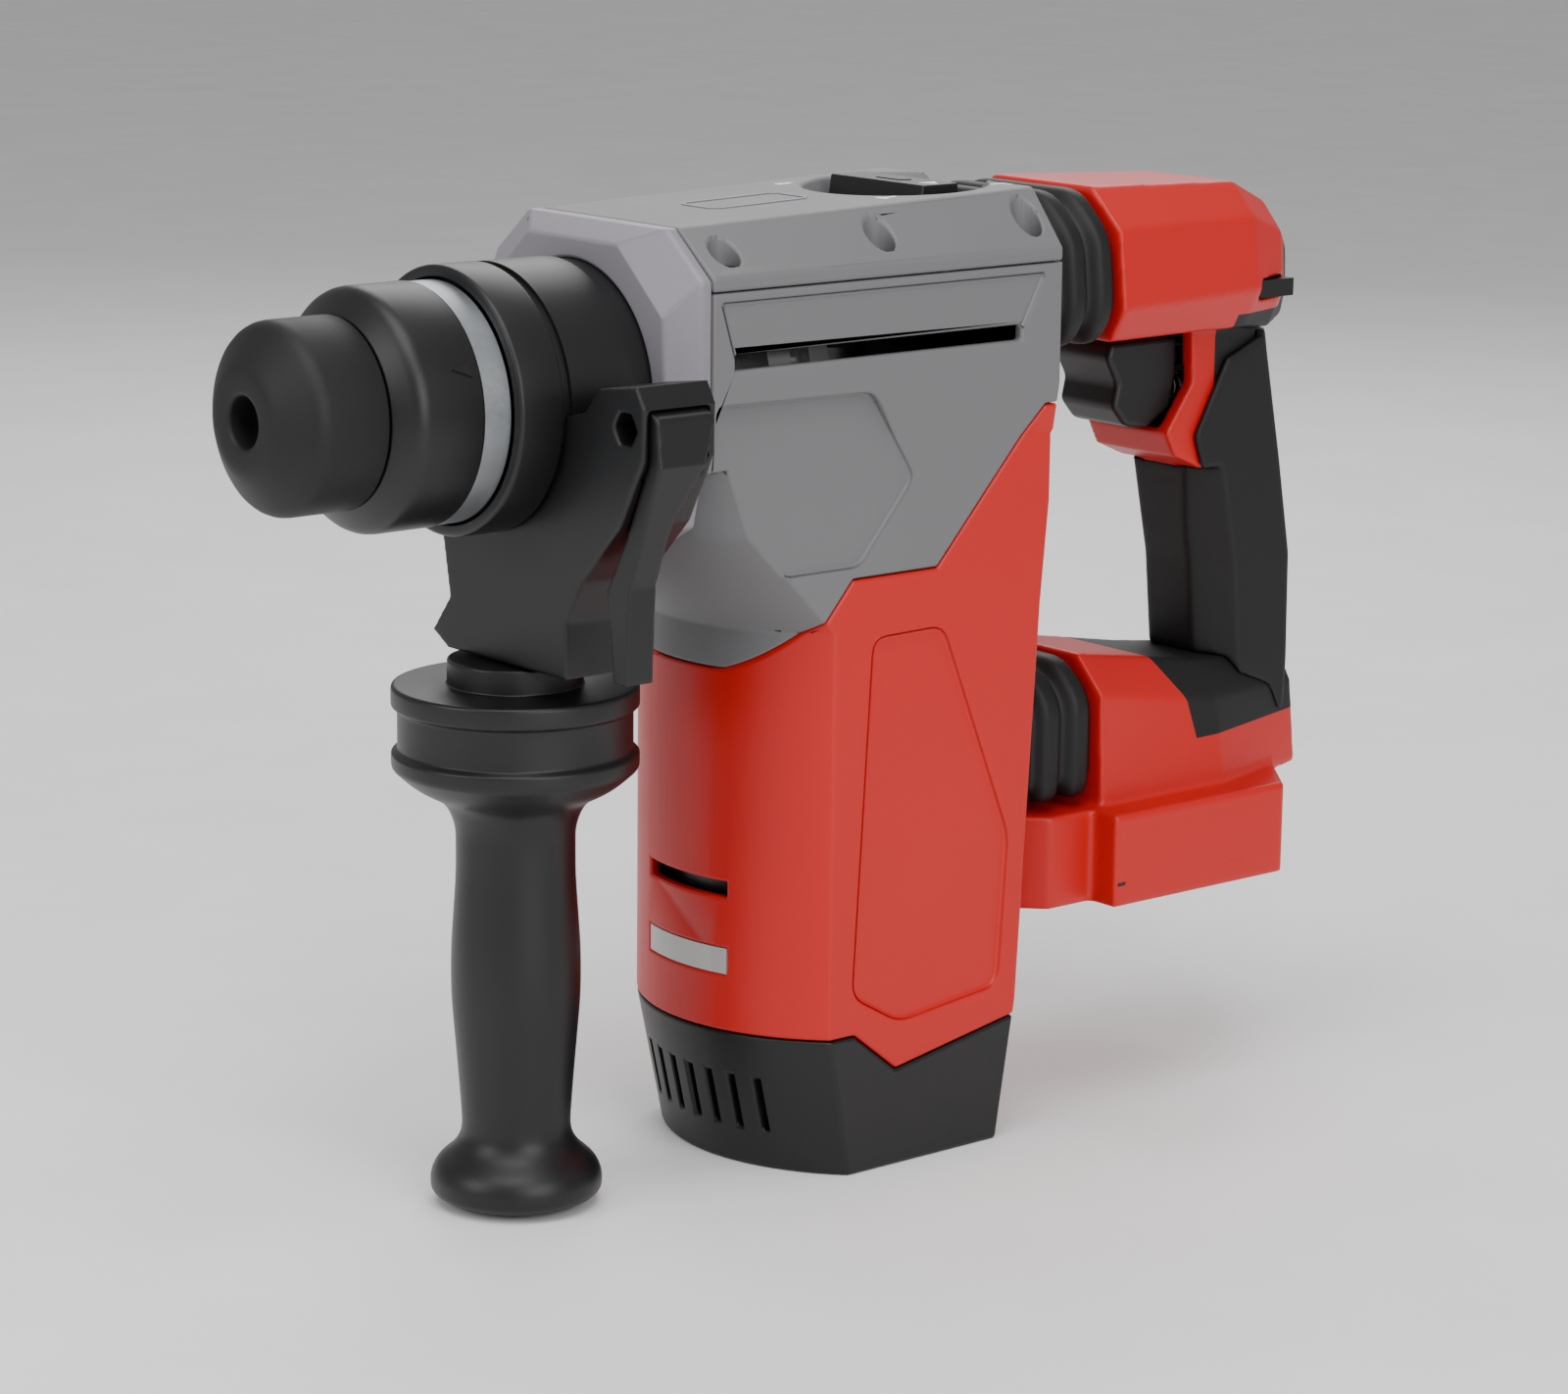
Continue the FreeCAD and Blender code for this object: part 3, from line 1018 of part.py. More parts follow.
def side_grip():
    grip = turned("side_grip", [
        ("clamp_stud_radius + running", "-63.2"), ("grip_ring_radius", "-63.2"),
        ("grip_ring_radius", "disc_top_z"),
        ("disc_radius", "disc_top_z"), ("disc_radius", "disc_top_z - 5"),
        ("disc_waist_radius", "disc_top_z - 6"),
        ("disc_waist_radius", "disc_top_z - 15.5"), ("disc_radius", "disc_top_z - 16.5"),
        ("disc_radius", "disc_bottom_z + 1.5"), ("disc_radius - 5", "disc_bottom_z - 3"),
        ("17", "disc_bottom_z - 7"),
        ("14.4", "-104"), ("14.4", "-116"), ("grip_belly_radius", "-135"), ("grip_belly_radius", "-146"),
        ("14", "-166"), ("13", "-180"), ("15", "-184"), ("knob_radius - 1.5", "-187.8"),
        ("knob_radius", "-191"),
        ("knob_radius", "-195"), ("knob_radius - 4", "grip_end_z + 0.8"),
        ("knob_radius - 9", "grip_end_z"), ("0", "grip_end_z"),
        ("0", "-121"), ("clamp_stud_radius + running", "-121")], "V_Axis")
    placed(grip, "clamp_x")


def controller_board():
    x = size.sole_rear_x + size.wall + 2.3
    made("controller_board", box(x, x + 1.6, -26.0, 26.0, -192.1, -164.5))


dust_cap()
locking_sleeve()
tool_holder()
sleeve_spring()
collar_and_neck()
hammer_cylinder()
piston_and_rod()
crankshaft()
gear_train()
bevel_ring()
gearbox_frame()
motor()
housings()
front_housing()
housing_screws()
mode_dial()
handle_shells()
grip_overmould()
trigger_group()
dampers()
handle_bellows()
clamp_body()
depth_lever()
clamp_band()
side_grip()
controller_board()
doc.recompute()

for item in doc.Objects:
    if "Invalid" in item.State or "Error" in item.State:
        raise RuntimeError("failed: " + item.Label)
for node in nodes:
    if node.Shape.isNull() or not node.Shape.isValid() or not node.Shape.Solids:
        raise RuntimeError("bad shape: " + node.Label)

os.makedirs("parts", exist_ok=True)
for node in nodes:
    node.Shape.exportStep("parts/%s.step" % node.Label)
    print(node.Label, len(node.Shape.Solids), round(node.Shape.Volume, 1))
print(len(nodes), "nodes")
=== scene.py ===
import json
import math

import bmesh
import bpy
from mathutils import Matrix, Vector


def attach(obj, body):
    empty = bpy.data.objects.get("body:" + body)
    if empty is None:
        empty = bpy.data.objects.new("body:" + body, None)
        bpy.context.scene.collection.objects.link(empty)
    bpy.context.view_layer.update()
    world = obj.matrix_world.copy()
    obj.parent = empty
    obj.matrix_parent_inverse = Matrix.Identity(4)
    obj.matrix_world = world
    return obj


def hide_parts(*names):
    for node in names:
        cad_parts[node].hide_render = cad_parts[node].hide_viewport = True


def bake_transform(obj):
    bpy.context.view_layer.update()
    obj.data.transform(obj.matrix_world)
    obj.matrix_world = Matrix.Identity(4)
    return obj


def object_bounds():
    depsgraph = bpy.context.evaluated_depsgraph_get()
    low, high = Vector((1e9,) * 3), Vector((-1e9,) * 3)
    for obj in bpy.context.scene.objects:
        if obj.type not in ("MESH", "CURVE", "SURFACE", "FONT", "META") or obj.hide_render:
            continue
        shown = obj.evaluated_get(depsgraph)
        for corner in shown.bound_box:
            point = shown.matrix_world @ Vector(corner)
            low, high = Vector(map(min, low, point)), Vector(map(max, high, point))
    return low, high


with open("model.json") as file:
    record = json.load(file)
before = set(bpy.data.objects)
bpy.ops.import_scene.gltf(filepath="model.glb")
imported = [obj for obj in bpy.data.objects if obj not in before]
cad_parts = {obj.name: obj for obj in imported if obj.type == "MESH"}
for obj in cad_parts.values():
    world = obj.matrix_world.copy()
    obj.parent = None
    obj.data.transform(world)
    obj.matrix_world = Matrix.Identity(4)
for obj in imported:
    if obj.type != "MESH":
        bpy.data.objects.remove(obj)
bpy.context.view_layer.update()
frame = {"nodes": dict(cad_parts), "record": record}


# The camera stands in front of the tool's left side, a little above the bit, with a long lens.
CAMERA_PLACE = (0.54988, 0.83804, 0.15758)
CAMERA_TURN, CAMERA_RISE, CAMERA_ROLL = (math.radians(angle) for angle in (50.084, 12.472, 0.639))
back = Vector((math.cos(CAMERA_TURN) * math.cos(CAMERA_RISE), math.sin(CAMERA_TURN) * math.cos(CAMERA_RISE),
               math.sin(CAMERA_RISE)))
level = (-back).cross(Vector((0, 0, 1))).normalized()
upright = level.cross(-back)
right = level * math.cos(CAMERA_ROLL) + upright * math.sin(CAMERA_ROLL)
upward = upright * math.cos(CAMERA_ROLL) - level * math.sin(CAMERA_ROLL)
PICTURE_WIDTH, FOCAL_LENGTH = 1600, 4559.17  # in pixels of the picture
SENSOR_WIDTH = 36.0
lens = bpy.data.cameras.new("studio_camera")
lens.sensor_width = SENSOR_WIDTH
lens.lens = FOCAL_LENGTH / PICTURE_WIDTH * SENSOR_WIDTH
lens.clip_start, lens.clip_end = 0.05, 20.0
camera = bpy.data.objects.new("studio_camera", lens)
turn = Matrix((right, upward, back)).transposed().to_4x4()
camera.matrix_world = Matrix.Translation(CAMERA_PLACE) @ turn
bpy.context.scene.collection.objects.link(camera)
bpy.context.scene.camera = camera


# Dust cap. A soft rubber nose that seals the bit's shank, snapped on the end of the tool holder.
class Signal:
    """A shader socket that Python arithmetic can be written with."""

    def __init__(self, tree, socket):
        self.tree = tree
        self.socket = socket

    def maths(self, operation, *values):
        node = self.tree.nodes.new("ShaderNodeMath")
        node.operation = operation
        for plug, value in zip(node.inputs, values):
            feed(self.tree, plug, value)
        return Signal(self.tree, node.outputs[0])

    def __add__(self, other):
        return self.maths("ADD", self, other)

    def __radd__(self, other):
        return self.maths("ADD", other, self)

    def __sub__(self, other):
        return self.maths("SUBTRACT", self, other)

    def __rsub__(self, other):
        return self.maths("SUBTRACT", other, self)

    def __mul__(self, other):
        return self.maths("MULTIPLY", self, other)

    def __rmul__(self, other):
        return self.maths("MULTIPLY", other, self)

    def above(self, limit):
        return self.maths("GREATER_THAN", self, limit)

    def below(self, limit):
        return self.maths("LESS_THAN", self, limit)

    def larger(self, other):
        return self.maths("MAXIMUM", self, other)


def feed(tree, plug, value):
    """Links a signal to a socket, or sets the socket to a plain value."""
    if isinstance(value, Signal):
        tree.links.new(value.socket, plug)
    elif hasattr(plug.default_value, "__len__") and len(plug.default_value) == 4 and len(value) == 3:
        plug.default_value = (*value, 1.0)
    else:
        plug.default_value = value


class Finish:
    """A material, with the nodes that drive its main shader."""

    def __init__(self, name, colour, **constants):
        self.material = bpy.data.materials.new(name)
        self.material.use_nodes = True
        self.tree = self.material.node_tree
        self.shader = self.tree.nodes["Principled BSDF"]
        self.material.diffuse_color = (*colour, 1.0)
        self.shader.inputs["Base Color"].default_value = (*colour, 1.0)
        for plug, value in constants.items():
            self.shader.inputs[plug.replace("_", " ")].default_value = value
        self.place = self.add("ShaderNodeTexCoord", output="Object")

    def add(self, kind, settings=None, inputs=None, output=0):
        node = self.tree.nodes.new(kind)
        for key, value in (settings or {}).items():
            setattr(node, key, value)
        for key, value in (inputs or {}).items():
            feed(self.tree, node.inputs[key], value)
        return Signal(self.tree, node.outputs[output])

    def noise(self, scale, detail=2.0, rough=0.5):
        return self.add("ShaderNodeTexNoise", None,
                        {"Vector": self.place, "Scale": scale, "Detail": detail, "Roughness": rough})

    def stations(self):
        """The three coordinates of a point on the piece, in metres."""
        return [self.add("ShaderNodeSeparateXYZ", None, {0: self.place}, axis) for axis in range(3)]

    def drive(self, plug, value):
        feed(self.tree, self.shader.inputs[plug], value)

    def blend(self, amount, first, second):
        return self.add("ShaderNodeMix", {"data_type": "RGBA"}, {0: amount, 6: first, 7: second}, 2)

    def bump(self, height, distance, strength=1.0):
        self.drive("Normal", self.add("ShaderNodeBump", None,
                                      {"Height": height, "Distance": distance, "Strength": strength}))


def moulded(name, colour, roughness, grain=2600.0, depth=0.00002, speck=0.06, gloss_swing=0.08, **constants):
    """Injection-moulded plastic: spark-eroded grain, faint flow marks and slightly uneven gloss."""
    finish = Finish(name, colour, **constants)
    flow = finish.noise(18.0, 3.0)
    fine = finish.noise(grain, 2.0, 0.6)
    darker = [channel * (1 - speck) for channel in colour]
    lighter = [min(1.0, channel * (1 + speck)) for channel in colour]
    finish.drive("Base Color", finish.blend(flow, darker, lighter))
    finish.drive("Roughness", roughness - gloss_swing / 2 + gloss_swing * finish.noise(55.0, 4.0))
    finish.bump(fine, depth, 0.6)
    return finish


SKIN_BLACK = (0.0036, 0.0036, 0.0040)
black_rubber = moulded("black_rubber", SKIN_BLACK, 0.58, grain=1700.0, depth=0.00004,
                       Specular_IOR_Level=0.38)
# sizes are in millimetres, and the scene is in metres
MM = 0.001


def rounded(corners, radius, steps=4):
    """The same closed outline with its corners turned into short curves."""
    out = []
    for index, corner in enumerate(corners):
        here = Vector(corner[:2])
        before = Vector(corners[index - 1][:2]) - here
        after = Vector(corners[(index + 1) % len(corners)][:2]) - here
        wanted = corner[2] if len(corner) > 2 else radius
        reach_in = min(wanted, 0.45 * before.length)
        reach_out = min(wanted, 0.45 * after.length)
        if wanted == 0:
            out.append(tuple(here))
            continue
        first = here + before.normalized() * reach_in
        last = here + after.normalized() * reach_out
        for step in range(steps + 1):
            share = step / steps
            out.append(tuple(first * (1 - share) ** 2 + here * 2 * share * (1 - share) + last * share ** 2))
    return out


def piece_of(name, shape, finish, body, sharp=34):
    """Makes an object from millimetre geometry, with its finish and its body."""
    bmesh.ops.recalc_face_normals(shape, faces=shape.faces)
    mesh = bpy.data.meshes.new(name)
    shape.to_mesh(mesh)
    shape.free()
    mesh.transform(Matrix.Scale(MM, 4))
    mesh.shade_smooth()
    mesh.set_sharp_from_angle(angle=math.radians(sharp))
    piece = bpy.data.objects.new(name, mesh)
    bpy.context.scene.collection.objects.link(piece)
    if finish:
        mesh.materials.append(finish.material)
    if body:
        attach(piece, body)
    return piece


def lathe(profile, around="x", centre=(0.0, 0.0), steps=96):
    """Turns a closed profile of (station, radius) points about an axis along x or z."""
    shape = bmesh.new()
    rings = []
    for step in range(steps):
        angle = 2 * math.pi * step / steps
        ring = []
        for station, radius in profile:
            across, up = radius * math.cos(angle), radius * math.sin(angle)
            place = (station, across + centre[0], up + centre[1]) if around == "x" else (
                across + centre[0], up + centre[1], station)
            ring.append(shape.verts.new(place))
        rings.append(ring)
    for index, ring in enumerate(rings):
        following = rings[(index + 1) % steps]
        for point in range(len(profile)):
            other = (point + 1) % len(profile)
            shape.faces.new((ring[point], ring[other], following[other], following[point]))
    return shape


CAP_PROFILE = [
    (8.0, 6.0, 1.2), (8.0, 12.2, 2.2), (1.4, 22.5, 3.0), (-16.7, 22.5, 0.4), (-16.7, 20.0, 0.3),
    (-2.5, 20.0, 1.0), (-2.5, 13.4, 0.3), (-9.0, 13.4, 0.3), (-9.0, 10.45, 0.3), (0.1, 10.45, 0), (0.1, 6.0, 0)]
cap = piece_of("nose_cap", lathe(rounded(CAP_PROFILE, 1.0)), black_rubber, "spindle")
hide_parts("dust_cap")


# Locking sleeve. A moulded plastic ring that slides back to free the bit. A raised arrowhead on its
# left side marks the pull.
black_plastic = moulded("black_plastic", (0.0042, 0.0042, 0.0050), 0.42, Specular_IOR_Level=0.42)
SLEEVE_PROFILE = [
    (-17.2, 22.5, 0.3), (-21.2, 28.6, 2.6), (-38.7, 28.6, 0.8), (-38.7, 25.6, 0.3), (-24.5, 25.6, 0.3),
    (-24.5, 13.6, 0.3), (-27.3, 13.6, 0), (-27.3, 10.8, 0), (-20.7, 10.8, 0), (-20.7, 20.0, 0),
    (-17.2, 20.0, 0)]
sleeve = piece_of("pull_sleeve", lathe(rounded(SLEEVE_PROFILE, 0.8)), black_plastic, "sleeve")
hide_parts("locking_sleeve")
ARROW_RADII = (28.3, 29.0)
ARROW_CORNERS = ((-31.0, 24.0), (-36.0, 20.0), (-36.0, 28.0))
arrow = bmesh.new()
for radius in ARROW_RADII:
    for x, turn_degrees in ARROW_CORNERS:
        angle = math.radians(turn_degrees)
        arrow.verts.new((x, radius * math.cos(angle), radius * math.sin(angle)))
arrow.verts.ensure_lookup_table()
for corners in ((0, 1, 2), (3, 5, 4), (0, 3, 4, 1), (1, 4, 5, 2), (2, 5, 3, 0)):
    arrow.faces.new([arrow.verts[corner] for corner in corners])
piece_of("sleeve_arrow", arrow, black_plastic, "sleeve")


# Shoulder collar. The black plastic ring that the sleeve and its bare metal ring slide into. Its front
# is open, with a soft edge, and its web sits on the neck.
COLLAR_PROFILE = [
    (-46.3, 28.9, 0.3), (-46.3, 31.7, 1.2), (-58.7, 31.7, 0.8), (-58.7, 22.0, 0), (-55.0, 22.0, 0.3),
    (-55.0, 28.9, 0.3)]
collar = piece_of("shoulder_collar", lathe(rounded(COLLAR_PROFILE, 0.8)), black_plastic, "housing")
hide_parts("front_collar")


# Housings. Glass-filled nylon halves moulded over ribs and screw bosses. Each keeps its frame shape,
# with its arrises rounded and its shallow panels sunk into the sides.
RED = (0.50, 0.0045, 0.0035)
red_plastic = moulded("red_plastic", RED, 0.42, Specular_IOR_Level=0.40)
grey_plastic = moulded("grey_plastic", (0.135, 0.135, 0.14), 0.55)
front_paint = moulded("front_paint", (0.20, 0.185, 0.21), 0.42)


def grown_from(name, finish, body, nodes):
    """A new mesh of the frame's nodes, cleaned to flat faces, which then stands for them."""
    shape = bmesh.new()
    for node in nodes:
        shape.from_mesh(frame["nodes"][node].data)
    bmesh.ops.remove_doubles(shape, verts=shape.verts, dist=2e-6)
    bmesh.ops.dissolve_limit(shape, angle_limit=math.radians(0.12), verts=shape.verts, edges=shape.edges)
    bmesh.ops.scale(shape, vec=(1 / MM, 1 / MM, 1 / MM), verts=shape.verts)
    piece = piece_of(name, shape, finish, body)
    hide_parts(*nodes)
    return piece


def block_of(outline, low, high, along):
    """A closed prism, its outline given in the two axes across its length."""
    shape = bmesh.new()
    places = {"x": lambda a, b, c: (c, a, b),
              "y": lambda a, b, c: (a, c, b),
              "z": lambda a, b, c: (a, b, c)}[along]
    ends = [[shape.verts.new(places(a, b, end)) for a, b in outline] for end in (low, high)]
    for index in range(len(outline)):
        other = (index + 1) % len(outline)
        shape.faces.new((ends[0][index], ends[0][other], ends[1][other], ends[1][index]))
    shape.faces.new(ends[0])
    shape.faces.new(ends[1])
    return shape


def settle(piece):
    """Applies every modifier on a piece and keeps the result as its mesh."""
    ready = piece.evaluated_get(bpy.context.evaluated_depsgraph_get())
    mesh = bpy.data.meshes.new_from_object(ready)
    piece.modifiers.clear()
    piece.data = mesh


def carve(piece, cutters):
    """Takes closed shapes out of a piece."""
    tools = []
    for number, shape in enumerate(cutters):
        tool = piece_of(f"{piece.name}_cutter_{number}", shape, None, None)
        tools.append(tool)
        cut = piece.modifiers.new("cut", "BOOLEAN")
        cut.operation = "DIFFERENCE"
        cut.solver = "EXACT"
        cut.object = tool
    settle(piece)
    for tool in tools:
        bpy.data.objects.remove(tool)


def soften(piece, width, segments=3, angle=28):
    """Rounds the arrises of a piece."""
    edge = piece.modifiers.new("round", "BEVEL")
    edge.width = width * MM
    edge.segments = segments
    edge.limit_method = "ANGLE"
    edge.angle_limit = math.radians(angle)
    edge.use_clamp_overlap = False
    even = piece.modifiers.new("even", "WEIGHTED_NORMAL")
    even.keep_sharp = True
    low = [min(corner.co[axis] for corner in piece.data.vertices) for axis in range(3)]
    high = [max(corner.co[axis] for corner in piece.data.vertices) for axis in range(3)]
    settle(piece)
    for corner in piece.data.vertices:
        corner.co = [min(max(value, low[axis]), high[axis]) for axis, value in enumerate(corner.co)]


RED_PANEL = [(-147.8, -62.5), (-142.6, -152.0), (-157.9, -160.8), (-191.0, -157.0), (-193.5, -118.5),
             (-170.4, -62.1)]
GREY_PANEL = [(-97.0, -1.0), (-145.0, -1.6), (-160.0, -24.0), (-143.0, -44.0), (-118.0, -44.0),
              (-97.0, -24.0)]
SLIT_PANEL = [(-98.0, 23.0), (-200.0, 23.0), (-193.0, 10.0), (-102.0, 10.0)]
SIDES = (1, -1)
OUTSIDE_Y = 45.0


def side_sinks(outline, corner, floor_y):
    """A cutter for each side, which sinks a panel down to its floor."""
    return [block_of(rounded(outline, corner), min(side * floor_y, side * OUTSIDE_Y),
                     max(side * floor_y, side * OUTSIDE_Y), "y") for side in SIDES]


cover = grown_from("upper_shell", grey_plastic, "housing", ["top_cover"])
gearbox_shell = grown_from("grey_shell", grey_plastic, "housing", ["gear_housing"])
motor_shell = grown_from("red_shell", red_plastic, "housing", ["motor_housing"])
boot = grown_from("foot_shell", black_plastic, "housing", ["motor_boot"])
nose_shell = grown_from("nose_shell", front_paint, "housing", ["front_housing"])
for shell, outline, corner, floor_y in ((motor_shell, RED_PANEL, 4.0, 37.2),
                                        (gearbox_shell, GREY_PANEL, 3.0, 37.3),
                                        (gearbox_shell, SLIT_PANEL, 1.0, 39.5)):
    carve(shell, side_sinks(outline, corner, floor_y))
for shell, width in ((cover, 0.9), (gearbox_shell, 0.8), (motor_shell, 0.8), (boot, 0.9), (nose_shell, 0.8)):
    soften(shell, width)


# Bellows. Two soft rubber concertinas of three folds each, between the body and the sprung handle.
FOLDS = 3
STATIONS = FOLDS * 16
GROOVE_DEPTH, GROOVE_SHARPNESS, LOBE_CORNER = 2.7, 2.2, 5.0
INNER_SHARE = 0.88
BELLOWS_REAR = -234.6


def bellows(name, node, outline, front, middle_z, rear=BELLOWS_REAR):
    """A folded tube whose groove runs in and out of the outline, with an inner wall that follows it."""
    shape = bmesh.new()
    rings = []
    for station in range(STATIONS + 1):
        share = station / STATIONS
        depth = GROOVE_DEPTH * (0.5 + 0.5 * math.cos(2 * math.pi * FOLDS * share)) ** GROOVE_SHARPNESS
        x = front + (rear - front) * share
        rings.append([(x, y, z) for y, z in rounded(outline(-depth), LOBE_CORNER)])
    for ring in list(reversed(rings)):
        rings.append([(x, y * INNER_SHARE, (z - middle_z) * INNER_SHARE + middle_z) for x, y, z in ring])
    made = [[shape.verts.new(place) for place in ring] for ring in rings]
    for index, ring in enumerate(made):
        following = made[(index + 1) % len(made)]
        for point in range(len(ring)):
            other = (point + 1) % len(ring)
            shape.faces.new((ring[point], ring[other], following[other], following[point]))
    piece = piece_of(name, shape, black_rubber, None, 60)
    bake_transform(piece)
    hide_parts(node)


def mirrored(right_side):
    return right_side + [(-y, z) for y, z in reversed(right_side)]


bellows("upper_concertina", "upper_bellows", lambda grow: mirrored([
    (18.5 + 0.5 * grow, 40.0 + grow), (29.5 + grow, 29.5 + 0.5 * grow), (31.5 + grow, 10.0),
    (26.0 + grow, 1.0 - grow)]), -206.6, 20.0)
bellows("lower_concertina", "lower_bellows", lambda grow: mirrored([
    (17.0 + 0.5 * grow, -81.0 + grow), (26.5 + grow, -90.0 + 0.5 * grow), (26.5 + grow, -117.0 - grow)]),
    -203.6, -99.0)


# Rear handle. Two red halves screwed together, with a soft black skin moulded over the grip. Their
# thick edges are blended by hand, so the meshes are remade from small cells and eased.
def eased(piece, cell, rounds, factor=0.5):
    """Remakes a piece from small cells and relaxes it, so that its arrises turn into soft curves."""
    remade = piece.modifiers.new("cells", "REMESH")
    remade.mode = "VOXEL"
    remade.voxel_size = cell * MM
    remade.use_smooth_shade = True
    relaxed = piece.modifiers.new("ease", "SMOOTH")
    relaxed.factor = factor
    relaxed.iterations = rounds
    settle(piece)


# The skin runs on over the red halves as one colour: up the back, over the saddle and into the foot.
handle_plastic = moulded("handle_plastic", RED, 0.42, Specular_IOR_Level=0.40)
along, _, up = handle_plastic.stations()
back_strip = along.below(-0.3075) * up.above(-0.02)
saddle = along.below(-0.2848) * up.below(0.0044) * up.above(-0.03)
heel_line = (up * 0.567 - 0.2141).larger(up * 0.26 - 0.2438)
heel = along.below(heel_line) * up.above(-0.1066) * up.below(-0.078)
black_part = back_strip.larger(saddle).larger(heel)
handle_plastic.drive("Base Color", handle_plastic.blend(black_part, RED, SKIN_BLACK))
handle_plastic.drive("Roughness", 0.42 + 0.16 * black_part)
handle = grown_from("handle_halves", handle_plastic, "rear_handle",
                    ["handle_left_shell", "handle_right_shell"])
eased(handle, 0.75, 9)
grip_skin = grown_from("grip_skin", black_rubber, "rear_handle", ["grip_overmould"])
eased(grip_skin, 0.65, 14)
trigger = grown_from("finger_trigger", black_plastic, "trigger", ["trigger"])
soften(trigger, 1.6, 4)
WINDOW_Y = (37.2, 38.0)
for number, (x, side) in enumerate((x, side) for x in (-234.9, -275.9) for side in SIDES):
    window = rounded([(x - 2.4, -138.4), (x + 2.4, -138.4), (x + 2.4, -137.4), (x - 2.4, -137.4)], 0.4)
    low, high = sorted(side * y for y in WINDOW_Y)
    piece_of(f"status_window_{number}", block_of(window, low, high, "y"), black_plastic, "rear_handle")


# Springs. The wound steel springs of the handle's dampers and of the trigger, which keep their frame mesh where
# each sits between the two parts that it pushes apart.
def steel(name, colour, roughness, grain=900.0, **constants):
    """Machined steel: fine turning marks and patches of oil film."""
    finish = Finish(name, colour, Metallic=1.0, **constants)
    film = finish.noise(60.0, 4.0)
    marks = finish.noise(grain, 3.0)
    finish.drive("Base Color", finish.blend(film, [c * 0.86 for c in colour], colour))
    finish.drive("Roughness", roughness + 0.16 * marks - 0.05)
    finish.bump(marks, 0.00001, 0.5)
    return finish


bright_steel = steel("bright_steel", (0.62, 0.62, 0.64), 0.22)
dark_steel = steel("dark_steel", (0.10, 0.10, 0.105), 0.38)
SPRINGS = {
    "damper_springs": ("damper_coils", dark_steel, "dark_steel", "housing", "rear_handle", -207.0, -234.0),
    "trigger_spring": ("trigger_coil", bright_steel, "bearing_steel", "trigger", "rear_handle", -276.5, -287.5)}
for node, (name, finish, slot, first, last, start, end) in SPRINGS.items():
    spring = grown_from(name, finish, None, [node])
    start * MM
    end * MM
    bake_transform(spring)


# Side handle. A hard moulded disc and grip on a stud, under a clamp body that closes on the neck.
clamp = grown_from("clamp_casting", black_plastic, "side_clamp", ["clamp_body"])
eased(clamp, 0.5, 7)
lever = grown_from("stop_lever", black_plastic, "depth_lever", ["depth_lever"])
eased(lever, 0.45, 6)
GRIP_PROFILE = [
    (-63.2, 4.06, 0), (-63.2, 16.3, 0.8), (-69.4, 16.3, 0.5), (-69.4, 29.7, 1.2), (-74.4, 29.7, 0.5),
    (-75.4, 28.2, 0.4), (-84.9, 28.2, 0.4), (-85.9, 29.7, 0.5), (-89.5, 29.7, 1.0), (-94.0, 24.7, 3.0),
    (-98.0, 17.0, 3.0), (-104.0, 14.4, 3.0), (-116.0, 14.4, 4.0), (-135.0, 15.7, 5.0), (-146.0, 15.7, 5.0),
    (-166.0, 14.0, 5.0), (-180.0, 13.0, 4.0), (-184.0, 15.0, 2.0), (-187.8, 19.4, 2.0), (-191.0, 20.9, 1.5),
    (-195.0, 20.9, 1.5), (-197.4, 16.9, 2.0), (-198.2, 11.9, 1.0), (-198.2, 0.02, 0), (-121.0, 0.02, 0),
    (-121.0, 4.06, 0)]
STUD_PLACE = (-67.8, 0.0)
side_bar = piece_of("side_bar", lathe(rounded(GRIP_PROFILE, 1.0, 5), "z", STUD_PLACE), black_plastic,
                    "side_handle")
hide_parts("side_grip")


# Mode dial. A black disc with a raised bar, its unlocking button and a white pointer printed on it.
dial = grown_from("mode_knob", black_plastic, "dial", ["mode_dial"])
soften(dial, 0.35)
white_print = moulded("white_print", (0.75, 0.75, 0.75), 0.5)


def printed(name, outline, height, body):
    """A thin printed mark that lies on a level face."""
    return piece_of(name, block_of(outline, height, height + 0.12, "z"), white_print, body)


BAR_TOP = 43.7
printed("dial_pointer", [(-187.6, 12.2), (-182.4, 12.2), (-185.0, 16.4)], BAR_TOP - 0.02, "dial")
DIAL_X = -185.0
MODE_MARKS = {
    "chisel_mark": ((19.0, 19.5), [(-2.6, -0.7), (1.0, -0.7), (1.0, -1.9), (2.6, -1.9), (2.6, 1.9),
                                   (1.0, 1.9), (1.0, 0.7), (-2.6, 0.7)]),
    "drill_mark": ((19.0, -19.5), [(-2.8, 0.0), (-1.6, -1.3), (-0.4, -0.5), (0.8, -1.3), (2.6, -1.3),
                                   (2.6, 1.3), (1.4, 0.6), (0.2, 1.3), (-1.0, 0.6)]),
    "free_mark": ((-17.5, 20.5), [(-2.0, -2.0), (2.0, -2.0), (2.0, -1.1), (-1.1, -1.1), (-1.1, 2.0),
                                  (-2.0, 2.0)])}
ROOF_FRONT_X, ROOF_FRONT_Z, ROOF_SLOPE = -95.3, 39.6, 3.4 / 110.7


def on_roof(name, outline, finish, lift):
    """A flat mark that follows the slope of the roof, moulded or printed on it."""
    shape = block_of(outline, -0.15, lift, "z")
    for corner in shape.verts:
        corner.co.z += ROOF_FRONT_Z + (ROOF_FRONT_X - corner.co.x) * ROOF_SLOPE
    return piece_of(name, shape, finish, "housing")


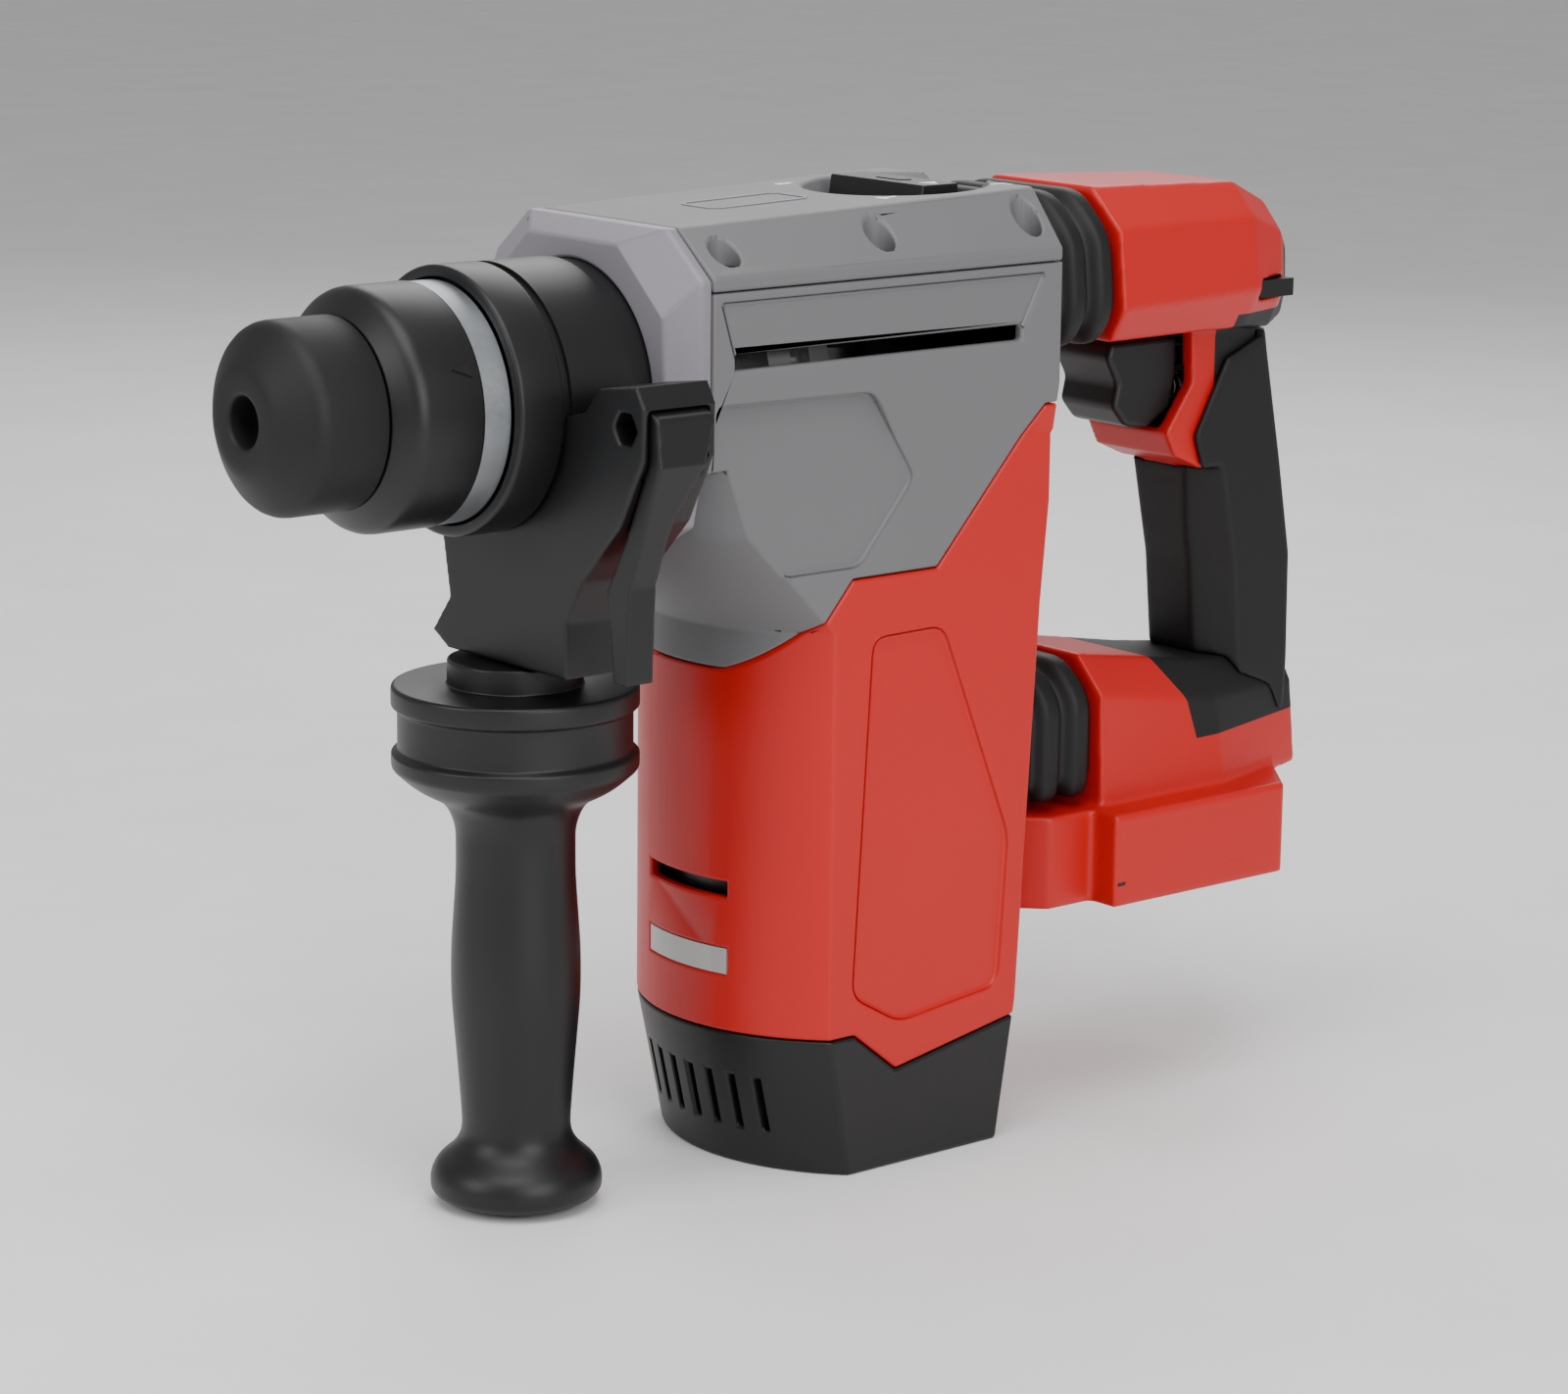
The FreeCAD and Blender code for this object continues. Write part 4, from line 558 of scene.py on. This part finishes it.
for name, (place, outline) in MODE_MARKS.items():
    on_roof(name, [(DIAL_X + place[0] + x, place[1] + y) for x, y in outline], white_print, 0.1)
BADGE = [(-124.0, -7.0), (-150.0, -7.0), (-152.0, -5.0), (-152.0, 5.0), (-150.0, 7.0), (-124.0, 7.0),
         (-122.0, 5.0), (-122.0, -5.0)]
for number, corner in enumerate(BADGE):
    first, last = Vector(corner), Vector(BADGE[(number + 1) % len(BADGE)])
    run = (last - first).normalized()
    across, run = run.orthogonal() * 0.45, run * 0.3
    rim = [first - across - run, last - across + run, last + across + run, first + across - run]
    on_roof(f"badge_rim_{number}", [tuple(point) for point in rim], front_paint, 0.3)


# Works and bare metal. The parts that keep their frame mesh: the metal ring, the lens, the screws, the
# selector, the neck and all that is inside. Each takes the finish of its slot in the record.
ring_steel = steel("ring_steel", (0.42, 0.44, 0.46), 0.42)
gear_steel = steel("gear_steel", (0.40, 0.40, 0.41), 0.32)
cast_aluminium = steel("cast_aluminium", (0.55, 0.55, 0.56), 0.50, 500.0)
copper_wire = steel("copper_wire", (0.72, 0.30, 0.14), 0.35, 1400.0)
board_green = moulded("board_green", (0.01, 0.10, 0.04), 0.35)
nylon = moulded("nylon", (0.42, 0.39, 0.32), 0.5)
clear_lens = moulded("clear_lens", (0.42, 0.40, 0.39), 0.22, Coat_Weight=0.4)
SLOT_FINISH = {"red_shell": red_plastic, "grey_shell": grey_plastic, "front_casting": front_paint,
               "black_plastic": black_plastic, "black_rubber": black_rubber, "gear_steel": gear_steel,
               "dark_steel": dark_steel, "bright_ring": ring_steel, "bearing_steel": bright_steel,
               "cast_aluminium": cast_aluminium, "copper": copper_wire, "clear_lens": clear_lens,
               "board": board_green, "grease_plastic": nylon}
for entry in frame["record"]["subparts"]:
    node = frame["nodes"][entry["node"]]
    node.data.materials.clear()
    node.data.materials.append(SLOT_FINISH[entry["material_slot"]].material)


# Studio. One large pale sheet that the tool stands on, lit by four soft boxes, the widest of them
# above it, and by the pale walls of the room.
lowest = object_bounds()[0].z
sheet_mesh = bpy.data.meshes.new("studio_floor")
FLOOR_REACH = 6.0
corners = [(-FLOOR_REACH, -FLOOR_REACH), (FLOOR_REACH, -FLOOR_REACH), (FLOOR_REACH, FLOOR_REACH),
           (-FLOOR_REACH, FLOOR_REACH)]
sheet_mesh.from_pydata([(x, y, lowest) for x, y in corners], [], [(0, 1, 2, 3)])
floor = bpy.data.objects.new("studio_floor", sheet_mesh)
bpy.context.scene.collection.objects.link(floor)
floor_paint = moulded("floor_paint", (0.86, 0.86, 0.86), 0.8, 300.0)
sheet_mesh.materials.append(floor_paint.material)

SOFT_BOXES = [("overhead_box", (0.25, 0.35, 1.15), 1.1, 16.0),
              ("camera_side_box", (0.05, 1.35, 0.45), 0.9, 11.0),
              ("front_box", (1.25, -0.15, 0.55), 0.7, 7.0),
              ("back_box", (-0.9, -0.8, 0.8), 0.9, 8.0)]
AIM = Vector((-0.13, 0.0, -0.05))
ROOM_STRENGTH = 0.42
for name, place, width, power in SOFT_BOXES:
    lamp = bpy.data.lights.new(name, "AREA")
    lamp.shape = "SQUARE"
    lamp.size = width
    lamp.energy = power
    holder = bpy.data.objects.new(name, lamp)
    holder.location = place
    holder.rotation_euler = (AIM - Vector(place)).to_track_quat("-Z", "Y").to_euler()
    bpy.context.scene.collection.objects.link(holder)
room = bpy.data.worlds.new("studio_room")
bpy.context.scene.world = room
room.use_nodes = True
room.node_tree.nodes["Background"].inputs["Color"].default_value = (1.0, 1.0, 1.0, 1.0)
room.node_tree.nodes["Background"].inputs["Strength"].default_value = ROOM_STRENGTH
